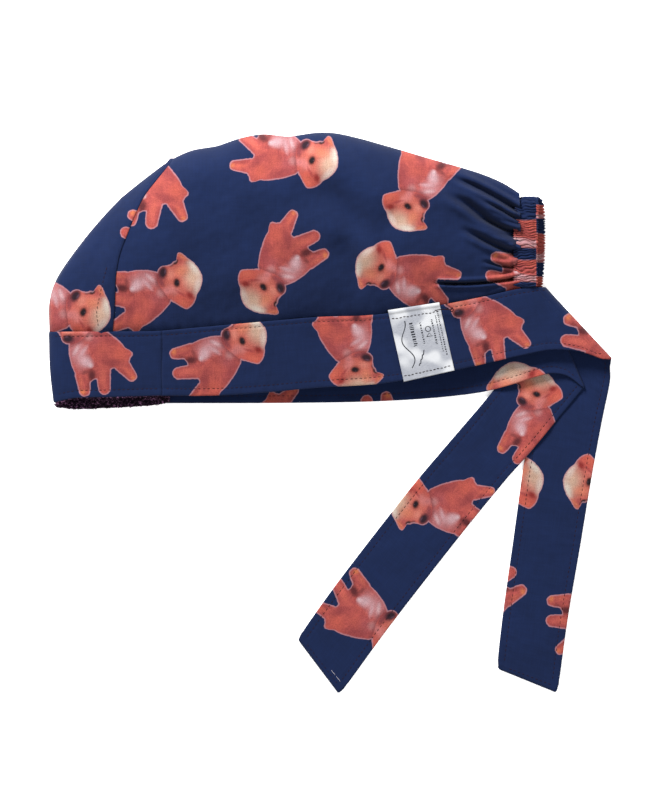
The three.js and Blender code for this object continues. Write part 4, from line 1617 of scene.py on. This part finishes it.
    def line(self, gap: float, from_top: bool, start: float, end: float) -> tuple[Array, Array]:
        """A line on the strip's face at a distance from one edge.

        Args:
            gap: distance from the edge, mm.
            from_top: True for the upper edge.
            start: where along the strip it starts, mm.
            end: where it ends.
        Returns:
            Its points on the upward face and the normals there.
        """
        columns = np.nonzero((self.along >= start) & (self.along <= end))[0]
        shares = gap / self.width[columns]
        shares = shares if from_top else 1 - shares
        points, ups = (np.array(rows) for rows in zip(*map(self.spots, columns, shares)))
        ups = unit(ups)
        return points + ups * self.half, ups

    def loose_stitches(self, wardrobe: Wardrobe) -> Piece:
        """A few pale stitches near the tie's end.

        Args:
            wardrobe: the finishes.
        Returns:
            The stitches.
        """
        maker = Stitcher(95)
        column = int(np.searchsorted(self.along, self.along[-1] - 5.6))
        spots, _ = self.spots(column, np.linspace(0.65, 0.92, 30))
        up = self.ups[-21, column]  # near the strip's middle
        maker.run(spots + up * self.half, up, 4.4, 0.96, 0.13)
        return settle(maker.build("loose_stitches", wardrobe.pale), Slot.COTTON)

    def topstitch(self, stitcher: Stitcher) -> None:
        """Sews along both edges of the band and of the tie, and across the tie's end.

        Args:
            stitcher: collects the stitches.
        """
        last = self.along[-1]
        before, after = self.first_leg - 3.0, self.first_leg + 3.0
        for gap, from_top, start, end in (
            (self.hem_line, False, 1.0, before), (self.top_line, True, 1.0, before),
            (self.leg_line, False, after, last - 3.5), (self.leg_line, True, after, last - 3.5),
        ):
            stitcher.run(*self.line(gap, from_top, start, end))
        column = int(np.searchsorted(self.along, last - 3.8))
        across = self.share * self.width[column]
        inner = (across > self.leg_line) & (across < self.width[column] - self.leg_line)
        up = self.ups[inner, column]
        stitcher.run(self.points[inner, column] + up * self.half, up)


def left_band(lie: Lie) -> SideBand:
    """The upper band, whose tie folds under and runs down beside the other.

    Args:
        lie: how the cap lies.
    Returns:
        The band with its tie.
    """
    return SideBand(
        "left_band", "left_band_tie", lie,
        body=(
            Ruling(-94.4, 45.8, None, -94.4, 9.4, None), Ruling(-58.8, 49, None, -62, 9.6, None),
            Ruling(-36.4, 51, None, -36.4, 11.3, None), Ruling(-8.4, 53.4, None, -5, 14, None),
            Ruling(24, 54.7, None, 30, 16.4, None), Ruling(58.8, 59.7, None, 68, 23.2, None),
            Ruling(85.7, 64.9, None, 94, 29, None), Ruling(103, 68.8, 11.2, 110, 32.6, 10.8),
            Ruling(112, 70.2, 10.8, 125, 35.2, 10.6), Ruling(116, 70.6, 10.4, 141, 33.9, 9.4),
        ),
        turn=Turn(120.4, 70.2, 158.0, 30.0, (1, 0), (-0.139, -0.99), 10.0, 8.0, 0.8, 3.6),
        leg=(
            Ruling(119.4, 52, 0.8, 157.5, 19, 0.8), Ruling(114.6, 8, 0.8, 153, -4, 0.8),
            Ruling(108.6, -31, 0.8, 147, -36.4, 0.8), Ruling(103, -71.4, 0.8, 140.4, -76.4, 0.8),
            Ruling(97.2, -113, 0.8, 133.4, -117.6, 0.8), Ruling(93.6, -143.8, 0.8, 128.0, -157.8, 0.8),
        ),
        curl=1.0,
        on_body=Toss((
            Placement(-88.0, 28.1, -92), Placement(17.4, 63.4, 156, 0.97), Placement(89.2, 26.8, 1),
            Placement(131.2, 47.3, -108, 1.05),
        )),
        on_leg=Toss((
            Placement(65.3, -43.4, -104), Placement(184.4, -51.4, 53), Placement(106.7, -94.6, 109, 1.05),
            Placement(122.7, -110.5, -103),
        )),
        seed=31,
        flat=(0.04, 0.45),
    )


def right_band(lie: Lie) -> SideBand:
    """The lower band, whose tie folds under and runs off at a slant.

    Args:
        lie: how the cap lies.
    Returns:
        The band with its tie.
    """
    return SideBand(
        "right_band", "right_band_tie", lie,
        body=(
            Ruling(-94.4, 42.6, 0.8, -94.4, 5.2, 0.8), Ruling(-20, 42.8, 0.8, -20, 5.4, 0.8),
            Ruling(24, 44.4, 0.8, 30, 6.4, 0.8), Ruling(60, 46.8, 0.8, 66, 8.9, 0.8),
            Ruling(82, 49.4, 1.4, 87.2, 11.8, 2.0), Ruling(98, 52.2, 3.8, 102, 15.7, 5.6),
            Ruling(108, 53.6, 4.0, 115.7, 20, 5.8), Ruling(115, 54.4, 3.8, 125, 22, 5.6),
            Ruling(120, 54.6, 3.6, 133.4, 20.4, 4.4),
        ),
        turn=Turn(125, 54.4, 142.6, 14, (0.93, -0.37), (-0.6225, -0.7826), 3.4, 3.4, 2.05, 1.0),
        leg=(
            Ruling(110, 35.5, 2.2, 127, -4.8, 2.2), Ruling(98, 20.4, 2.2, 116, -18.2, 2.2),
            Ruling(87.2, 6.8, 2.0, 107, -28.6, 2.2), Ruling(72, -11, 1.0, 101, -35.2, 2.1),
            Ruling(49.2, -37.8, 0.8, 78.6, -62.4, 0.9), Ruling(28, -64.6, 0.8, 57.6, -89, 0.8),
            Ruling(2, -98.6, 0.8, 31.4, -123, 0.8), Ruling(-18.4, -127.2, 0.8, 5.4, -158.8, 0.8),
        ),
        curl=2.4,
        on_body=Toss((
            Placement(-8.8, -8.1, 90), Placement(26.6, 9.8, 180), Placement(111.0, -30.6, -13, 1.08),
        )),
        on_leg=Toss((
            Placement(99.4, -24.2, -45, 0.94), Placement(84.9, -67.1, 48, 0.98),
            Placement(8.7, -91.0, -162, 1.02),
        )),
        seed=41,
        flat=(0.04, 0.46),
    )


# ------------ forehead band and sweatband
@dataclass
class BrowPiece:
    """A piece that goes round the fold at the brow, from the upper layer to the lower one."""

    lie: Lie
    name: str
    end_x: float
    proud: float
    share: float
    half: float
    columns: int = 110
    rows: int = 40

    def side(self, seam: Rail, hem: Rail, upper: bool) -> Array:
        """One side's grid of points on the middle of the cloth.

        Args:
            seam: its upper edge.
            hem: its lower edge.
            upper: True for the upper layer.
        Returns:
            Rows by columns by 3.
        """
        lie = self.lie
        cut = np.linspace(lie.BROW_TOP[0], self.end_x, 14)
        proud = self.proud * (1 - 1.6 * smooth(self.end_x - 9, self.end_x, cut))
        foot = (lie.BROW_FOOT[0], lie.BROW_FOOT[1] - self.proud)
        low = [(x, float(hem.y_at(x)) - out) for x, out in zip(cut, proud) if x > -154.0]
        bottom = Rail((foot, *low))
        top = Rail(tuple((float(x), float(seam.y_at(x))) for x in cut))
        left = Rail((foot, lie.BROW_MIDDLE, top.knots[0]))
        right = Rail((low[-1], top.knots[-1]))
        along = np.linspace(0, 1, self.columns // 2 + 1) ** 1.5
        across = 0.5 - 0.5 * np.cos(np.linspace(0, 1, self.rows + 1) * math.pi)
        a, b = np.meshgrid(along, across * self.share)
        at = coons(bottom, top, left, right, a, b)
        z = lie.near(at, np.zeros(a.shape), 1 - b) if upper else lie.far(at, 1.6)
        z[:, 0] = lie.column("rim", at[:, 0, 0])
        return np.concatenate([at, z[..., None]], -1)

    def sides(self) -> list[tuple[Array, bool]]:
        """Both sides' grids, each with True for the upper side."""
        lie = self.lie
        edges = ((lie.NEAR_SEAM, lie.NEAR_HEM, True), (lie.FAR_SEAM, lie.FAR_HEM, False))
        return [(self.side(seam, hem, upper), upper) for seam, hem, upper in edges]


@dataclass
class ForeheadBand(BrowPiece):
    """The printed band over the brow."""

    name: str = "forehead_band"
    end_x: float = -93.8
    proud: float = 0.0
    share: float = 1.0
    half: float = 0.6
    hem_line: float = 4.0
    top_line: float = 2.6
    toss: Toss = Toss((Placement(-132.6, 10.6, -5, 1.0),))
    upper: Array = field(init=False, repr=False)

    def patches(self) -> list[Patch]:
        """The upper and the lower side.

        Returns:
            The patches.
        """
        out = []
        for points, upper in self.sides():
            x, y = points[..., 0], points[..., 1]
            low = np.linalg.norm(points - points[:1], axis=-1)
            high = np.linalg.norm(points - points[-1:], axis=-1)
            tosses = (Toss.scattered((-170, -10), (-90, 60), 8),)
            if upper:
                lift = 0.14 * Ripple(51, 14, 50).at(x, y) + 0.04 * Ripple(52, 4, 9).at(x, y)
                wave = np.sin(x * 1.04 + np.sin(x * 0.2)) + 0.6 * np.sin(x * 1.7)
                for gap in (low - self.hem_line, high - self.top_line):
                    lift = lift + stitched(gap, wave, 0.09)
                points[..., 2] += lift * smooth(0, 8, x - self.lie.BROW_TOP[0])
                self.upper = points
                tosses = (self.toss,)
            long_edge = edge_round(np.minimum(low, high), self.half, 1.0)
            half = np.minimum(long_edge, edge_round(self.end_x - x, self.half, 0.8))
            out.append(Patch(points, points[..., :2], half, tosses, None, not upper))
        return out

    def dress(self, wardrobe: Wardrobe) -> Piece:
        """Args:
            wardrobe: the finishes.
        Returns:
            The forehead band.
        """
        cloth = Cloth(self.patches())
        thing = settle(cloth.build(self.name, wardrobe.cotton), Slot.COTTON, "forehead_band")
        return thing

    def topstitch(self, stitcher: Stitcher) -> None:
        """Sews along the seam and the hem of the upper side.

        Args:
            stitcher: collects the stitches.
        """
        for edge, gap in ((-1, self.top_line), (0, self.hem_line)):
            path = []
            for c in range(6, self.upper.shape[1]):
                column = self.upper[:, c]
                reach = np.linalg.norm(column - column[edge], axis=1)
                order = np.argsort(reach)
                path.append(rows_at(gap, reach[order], column[order]))
            stitcher.run(np.array(path) + UP * self.half, UP)


@dataclass
class Sweatband(BrowPiece):
    """The towelling inside the forehead band."""

    name: str = "sweatband"
    end_x: float = -89.8
    proud: float = 0.9
    share: float = 0.8
    half: float = 0.8
    shift: float = -2.0
    pile_top: float = 14.0
    pile: int = 2600
    thread: float = 0.17
    seed: int = 61

    def dress(self, wardrobe: Wardrobe) -> Piece:
        """Builds the towelling with its loops.

        Args:
            wardrobe: the finishes.
        Returns:
            The sweatband.
        """
        plain = (Toss(()),)
        half = np.array(self.half)
        cloth = Cloth([Patch(at, at[..., :2], half, plain, None, not upper) for at, upper in self.sides()])
        outward = cloth.normals()
        cloth.points = cloth.points + outward * self.shift
        x, y, z = cloth.points.T
        lump = Ripple(self.seed, 1.4, 4.0, 20).at(x, y + 3 * z)
        cloth.points = cloth.points + outward * (0.16 * lump)[:, None]
        thing = settle(cloth.build(self.name, wardrobe.terry), Slot.TERRY, "sweatband")
        self.loops(cloth, wardrobe)
        return thing

    def loops(self, cloth: Cloth, wardrobe: Wardrobe) -> Piece:
        """The pile near the mouth, each loop a bent thread on the inner face.

        Args:
            cloth: the towelling.
            wardrobe: the finishes.
        Returns:
            The loops.
        """
        rng = np.random.default_rng(self.seed)
        maker = Stitcher(self.seed)
        normals = cloth.normals()
        corners = cloth.points[cloth.faces]
        near_mouth = np.nonzero(corners.mean(axis=1)[:, 1] < self.pile_top)[0]
        area = np.linalg.norm(cloth.face_normals(), axis=1)[near_mouth]
        arc = np.linspace(-0.2, math.pi + 0.2, 6)
        for face in rng.choice(near_mouth, self.pile, p=area / area.sum()):
            mix = rng.dirichlet(np.ones(4))
            base = (corners[face] * mix[:, None]).sum(0)
            up = unit(-normals[cloth.faces[face]].mean(0))
            aside = unit(np.cross(up, rng.normal(size=3)))
            lean = np.cross(up, aside)
            tall, wide = rng.uniform(0.6, 1.25), rng.uniform(0.35, 0.6)
            path = base + up * (self.half - 0.1) + np.outer(np.sin(arc) * tall, up)
            path = path + np.outer(np.cos(arc) * wide, aside)
            path = path + np.outer(np.sin(arc) * rng.uniform(-0.3, 0.3), lean)
            radial = unit(path - (base + up * (self.half + 0.1)), 1e-9)
            maker.tube(rings_round(path, radial, lean, self.thread, 5), closed=False)
        return settle(maker.build("terry_loops", wardrobe.terry), Slot.TERRY)


# ------------ elastic casing
@dataclass
class ElasticCasing:
    """The gathered tunnel of cloth over the back's elastic."""

    path: Rail = Rail((
        (109.6, 69.6, 11.0), (109.5, 84, 11.1), (109.7, 98, 11.0), (110.1, 111, 10.5), (111.2, 117.8, 9.0),
        (112.3, 119.6, 6.6), (113.3, 117.4, 4.2), (113.9, 110, 3.2), (113.9, 90, 3.2), (112.6, 72, 4.2),
        (110.8, 55.6, 4.8),
    ))
    width: float = 13.4
    thickness: float = 3.6
    pucker: float = 1.5
    depth: float = 1.4
    around: int = 60
    step: float = 0.2
    seed: int = 71
    edge_x: float = 115.6
    near_stripes: tuple[tuple[float, float], ...] = ((92.1, 107.8), (73.1, 85.4))
    far_stripes: tuple[tuple[float, float], ...] = ((108.9, 116.2), (84.4, 100.0), (66.0, 75.9))

    def dress(self, wardrobe: Wardrobe) -> bpy.types.Object:
        """Args:
            wardrobe: the finishes.
        Returns:
            The casing.
        """
        length = self.path.length
        along = np.linspace(0, length, int(length / self.step) + 1)
        centre = self.path.at(along / length)
        tangent = unit(np.gradient(centre, axis=0))
        side = np.tile([1.0, 0.0, 0.0], (len(centre), 1))
        side = unit(side - tangent * (side * tangent).sum(1, keepdims=True))
        up = np.cross(side, tangent)
        angle = np.arange(self.around) / self.around * 2 * math.pi
        ca, sa = np.cos(angle), np.sin(angle)
        oval_x = np.sign(ca) * np.abs(ca) ** 0.75 * self.width / 2
        oval_z = np.sign(sa) * np.abs(sa) ** 0.7 * self.thickness / 2
        far, wide = along[:, None], oval_x[None]
        wander = 0.7 * np.sin(wide * 0.35 + far * 0.21) + 0.4 * np.sin(wide * 0.9 + far * 0.4)
        phase = (far + wander) * math.pi / self.pucker
        phase = phase + 1.1 * np.sin(far * 0.37) + 0.7 * np.sin(far * 0.83 + 1)
        ridge = np.abs(np.sin(phase)) ** 0.5
        fine = 0.16 * np.sin(phase * 3.1 + np.sin(wide * 1.3))
        pinch = np.exp(-(((np.abs(wide) - self.width / 2 + 1.6) / 0.8) ** 2)) * 0.35
        swell = self.depth * (ridge - 0.75) + fine - pinch
        outward = side[:, None] * ca[None, :, None] + up[:, None] * sa[None, :, None]
        points = centre[:, None] + side[:, None] * oval_x[None, :, None] + up[:, None] * oval_z[None, :, None]
        points = points + outward * swell[..., None]
        squash = smooth(0, 1.6, np.minimum(along, length - along)) * 0.9 + 0.1
        top = along[np.argmax(centre[:, 1])]
        squash = squash * (1 - 0.26 * np.exp(-(((along - top) / 3.2) ** 2)))
        points = centre[:, None] + (points - centre[:, None]) * squash[:, None, None]
        quads, prints = self.faces(points)
        weave = np.stack([far * 2.2 * np.ones_like(wide), wide * np.ones_like(far)], -1).reshape(-1, 2)
        thing = mesh_object("elastic_casing", points.reshape(-1, 3), quads, wardrobe.cotton, prints, weave)
        settle(thing, Slot.COTTON, "elastic_casing")
        return thing

    def faces(self, points: Array) -> tuple[Array, Array]:
        """Faces of the tube, with the puppies' coats as stripes between the gathers.

        Args:
            points: rings by points by 3, mm.
        Returns:
            Four point numbers a row, and the puppy coordinates of their corners.
        """
        quads = np.roll(tube_faces(*points.shape[:2], closed=True)[:, ::-1], 1, axis=1)
        corners = points.reshape(-1, 3)[:, :2][quads]
        middle = corners.mean(axis=1)
        prints = np.full(corners.shape, NO_PRINT)
        near = middle[:, 0] < self.edge_x
        for side, stripes in ((near, self.near_stripes), (~near, self.far_stripes)):
            for low, high in stripes:
                inside = side & (np.abs(middle[:, 1] - (low + high) / 2) < (high - low) * 0.75)
                share = (corners[inside, :, 1] - low) / (high - low)
                across = 20.5 + 0.5 * (corners[inside, :, 0] - 110.0)
                prints[inside] = np.stack([blend(-15.4, 18.6, share), across], -1)
        return quads, prints

    def topstitch(self, stitcher: Stitcher) -> None:
        """Sews the row that closes the casing beside the crown.

        Args:
            stitcher: collects the stitches.
        """
        rng = np.random.default_rng(self.seed)
        y = np.linspace(72, 117, 120)
        x = 104.4 + 0.35 * np.sin(y * 1.1) + rng.normal(0, 0.05, len(y))
        z = 12.25 + 0.35 * np.sin(y * 1.9) - 0.02 * np.clip(y - 100, 0, None) ** 1.4
        stitcher.run(np.column_stack([x, y, z]), UP, 1.5, 0.7, 0.18)


# ------------ label
@dataclass
class Label:
    """A white satin label, sewn on at its top and bottom, with plain care marks."""

    corners: tuple[Point, ...] = ((32.4, 57.2), (61.2, 61.6), (69.8, 23.6), (41.4, 17.2))
    width: float = 29.0
    length: float = 40.0
    half: float = 0.22
    columns: int = 60
    rows: int = 80
    word_rows: tuple[tuple[float, float, float, float], ...] = (
        # share across, start, end, half of the letters' height in mm
        (0.925, 0.24, 0.87, 0.42), (0.87, 0.30, 0.84, 0.3), (0.78, 0.42, 0.78, 0.62), (0.55, 0.46, 0.76, 0.5),
        (0.375, 0.45, 0.78, 1.35),
    )
    line: float = 0.24
    points: Array = field(init=False, repr=False)

    @staticmethod
    def terms(x: Array, y: Array) -> Array:
        """The terms of a smooth curved surface, with the terms last."""
        return np.stack([np.ones_like(x), x, y, x * x, y * y, x * y], -1)

    def lay(self, band: SideBand, u: Array, v: Array) -> Array:
        """Places of the label's middle surface, lying on the band.

        Args:
            band: the band.
            u: shares across.
            v: shares up.
        Returns:
            The points, rows by columns by 3.
        """
        tl, tr, br, bl = (np.array(c) for c in self.corners)
        at = blend(blend(bl, br, u[..., None]), blend(tl, tr, u[..., None]), v[..., None])
        body = band.points.reshape(-1, 3)
        body = body[(body[:, 2] > 6) & (body[:, 0] > 20) & (body[:, 0] < 80)]
        weights, *_ = np.linalg.lstsq(self.terms(body[:, 0], body[:, 1]), body[:, 2], rcond=None)
        z = self.terms(at[..., 0], at[..., 1]) @ weights + band.half + self.half + 0.32
        z = z + 0.32 * np.sin(v * math.pi) * (0.6 + 0.4 * np.sin(u * 5.0 + 1)) + 0.12 * np.sin(u * 9 + v * 4)
        z = z + 0.55 * smooth(0.93, 0.97, v) - 0.5 * smooth(0.985, 1.0, v)
        return np.concatenate([at, z[..., None]], -1)

    def dress(self, band: SideBand, wardrobe: Wardrobe, stitcher: Stitcher) -> list[Piece]:
        """Builds the label, its stitches and its marks.

        Args:
            band: the band that it is sewn on.
            wardrobe: the finishes.
            stitcher: collects the stitches.
        Returns:
            The label and its marks.
        """
        u, v = np.meshgrid(np.linspace(0, 1, self.columns + 1), np.linspace(0, 1, self.rows + 1))
        self.points = self.lay(band, u, v)
        weave = np.stack([u * self.width, v * self.length], -1)
        cloth = Cloth([Patch(self.points, weave, np.array(self.half), (Toss(()),))])
        label = settle(cloth.build("label", wardrobe.satin), Slot.SATIN, "label")
        for height, left, right in ((0.875, 0.02, 0.99), (0.075, 0.01, 0.99)):
            share = np.linspace(left, right, 60)
            stitcher.run(self.on(share, height + 0.004 * np.sin(share * 30)), UP, 2.1, 0.84, 0.22)
        return [label, self.marks(wardrobe)]

    def on(self, u: Array, v: Array) -> Array:
        """Points on the label's top.

        Args:
            u: shares across.
            v: shares up.
        Returns:
            The points, a row each.
        """
        col = np.clip(u * self.columns, 0, self.columns - 1e-6)
        row = np.clip(v * self.rows, 0, self.rows - 1e-6)
        c, r = col.astype(int), row.astype(int)
        fc, fr = (col - c)[:, None], (row - r)[:, None]
        grid = self.points
        low, high = (grid[k, c] * (1 - fc) + grid[k, c + 1] * fc for k in (r, r + 1))
        return low * (1 - fr) + high * fr + UP * self.half

    def stroke(self, maker: Stitcher, u: Array, v: Array, radius: float) -> None:
        """Lays a thin flat line of ink.

        Args:
            maker: collects the lines.
            u: shares across.
            v: shares up.
            radius: half of the line's width, mm.
        """
        path = self.on(np.asarray(u, float), np.asarray(v, float)) + UP * 0.01
        aside = np.cross(UP, unit(np.gradient(path, axis=0), 1e-9)) * radius
        maker.tube(np.stack([path + aside, path + UP * 0.03, path - aside, path - UP * 0.03], 1))

    def marks(self, wardrobe: Wardrobe) -> Piece:
        """Plain marks: rows of short bars for words, a ring, a triangle and two wavy lines.

        Args:
            wardrobe: the finishes.
        Returns:
            The marks.
        """
        maker = Stitcher(81)
        rng = np.random.default_rng(82)
        for u, start, end, radius in self.word_rows:
            v = start
            while v < end:
                tall = rng.uniform(0.008, 0.026)
                ends = [u, u + rng.uniform(-0.004, 0.004)], [v, min(v + tall, end)]
                self.stroke(maker, *ends, radius * rng.uniform(0.7, 1.0))
                v += tall + rng.uniform(0.009, 0.018)
        turn = np.linspace(0, 2 * math.pi, 24)
        self.stroke(maker, 0.675 + 0.05 * np.cos(turn), 0.655 + 0.036 * np.sin(turn), self.line)
        self.stroke(maker, [0.62, 0.675, 0.73, 0.62], [0.55, 0.595, 0.55, 0.55], self.line)
        hill = np.linspace(0, 1, 40)
        self.stroke(maker, 0.21 + 0.10 * np.sin(hill * 8.0) * (1 - 0.4 * hill), 0.16 + 0.66 * hill, 0.3)
        self.stroke(maker, 0.36 + 0.16 * hill, 0.17 + 0.20 * hill + 0.012 * np.sin(hill * 22), 0.3)
        return settle(maker.build("label_marks", wardrobe.ink), Slot.SATIN)


@dataclass(frozen=True)
class ThreadEnd:
    """The loose end of the label's sewing thread, with a small loop."""

    route: Rail = Rail((
        (58.6, 57.0, 16.6), (61.0, 57.5, 16.9), (64.4, 57.7, 16.4), (67.0, 57.6, 16.2), (68.6, 58.3, 16.3),
        (69.0, 57.2, 16.4), (68.0, 56.5, 16.5), (67.4, 57.3, 16.6), (68.6, 58.1, 16.6),
    ))
    radius: float = 0.26

    def dress(self, wardrobe: Wardrobe) -> Piece:
        """Builds the thread.

        Args:
            wardrobe: the finishes.
        Returns:
            The thread.
        """
        path = self.route.at(np.linspace(0, 1, 80))
        tangent = unit(np.gradient(path, axis=0))
        aside = unit(np.cross(UP, tangent))
        maker = Stitcher(91)
        maker.tube(rings_round(path, aside, np.cross(tangent, aside), self.radius, 8))
        return settle(maker.build("thread_end", wardrobe.thread), Slot.COTTON)


# ------------ floor, light and camera
@dataclass(frozen=True)
class Studio:
    """A plain white floor under soft light, and a camera that looks straight down."""

    height: float = 4.0
    lens: float = 397.2
    look_at: tuple[float, float] = (-0.00355, 0.00459)
    key_power: float = 70.0
    fill: float = 0.5

    def build(self) -> None:
        """Makes the floor, the lights, the world and the camera."""
        scene = bpy.context.scene
        mesh = bpy.data.meshes.new("floor")
        mesh.from_pydata([(-4, -4, 0), (4, -4, 0), (4, 4, 0), (-4, 4, 0)], [], [(0, 1, 2, 3)])
        floor = bpy.data.objects.new("floor", mesh)
        floor.location.z = -0.0002
        scene.collection.objects.link(floor)
        material, s, shader = principled("white_floor")
        tone = s.noise(s.add("ShaderNodeTexCoord").outputs["Object"], 3.0, 2.0)
        s.feed(shader.inputs["Base Color"], s.mix(tone, (0.93, 0.93, 0.93, 1), (0.95, 0.95, 0.95, 1)))
        shader.inputs["Roughness"].default_value = 0.9
        shader.inputs["Emission Color"].default_value = (1.0, 1.0, 1.0, 1.0)
        shader.inputs["Emission Strength"].default_value = 0.4
        mesh.materials.append(material)
        self.area_light("key", (-0.55, 1.2, 0.85), 0.45, self.key_power)
        self.area_light("fill", (0.9, -0.7, 1.5), 1.6, self.key_power * 0.35)
        world = bpy.data.worlds.new("soft_white")
        world.use_nodes = True
        world.node_tree.nodes["Background"].inputs["Color"].default_value = (1, 1, 1, 1)
        world.node_tree.nodes["Background"].inputs["Strength"].default_value = self.fill
        scene.world = world
        scene.view_settings.view_transform = "Standard"
        camera = bpy.data.objects.new("camera", bpy.data.cameras.new("camera"))
        camera.data.lens = self.lens
        camera.data.sensor_width = 36.0
        camera.data.sensor_fit = "HORIZONTAL"
        camera.data.clip_end = 20
        camera.location = (self.look_at[0], self.look_at[1], self.height)
        scene.collection.objects.link(camera)
        scene.camera = camera

    def area_light(self, name: str, place: tuple[float, float, float], size: float, power: float) -> None:
        """A square soft light that points at the cap.

        Args:
            name: its name.
            place: where it hangs, m.
            size: its side, m.
            power: its power, W.
        """
        data = bpy.data.lights.new(name, "AREA")
        data.size = size
        data.energy = power
        light = bpy.data.objects.new(name, data)
        light.location = place
        light.rotation_euler = (Vector((0, 0, 0)) - Vector(place)).to_track_quat("-Z", "Y").to_euler()
        bpy.context.scene.collection.objects.link(light)


def main() -> None:
    """Builds the cap and the studio, piece by piece."""
    logging.basicConfig(level=logging.INFO, format="%(message)s")
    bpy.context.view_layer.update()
    wardrobe = Wardrobe()
    lie = Lie()
    stitcher = Stitcher(7)
    crown = Crown(lie)
    left, right = left_band(lie), right_band(lie)
    right.dress(wardrobe)
    left.dress(wardrobe)
    forehead = ForeheadBand(lie)
    forehead.dress(wardrobe)
    crown.dress(wardrobe)
    Sweatband(lie).dress(wardrobe)
    casing = ElasticCasing()
    casing.dress(wardrobe)
    for piece in (crown, left, right, forehead, casing):
        piece.topstitch(stitcher)
    Label().dress(left, wardrobe, stitcher)
    settle(stitcher.build("stitches", wardrobe.thread), Slot.COTTON)
    ThreadEnd().dress(wardrobe)
    right.loose_stitches(wardrobe)
    Studio().build()
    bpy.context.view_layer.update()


if __name__ == "__main__":
    main()
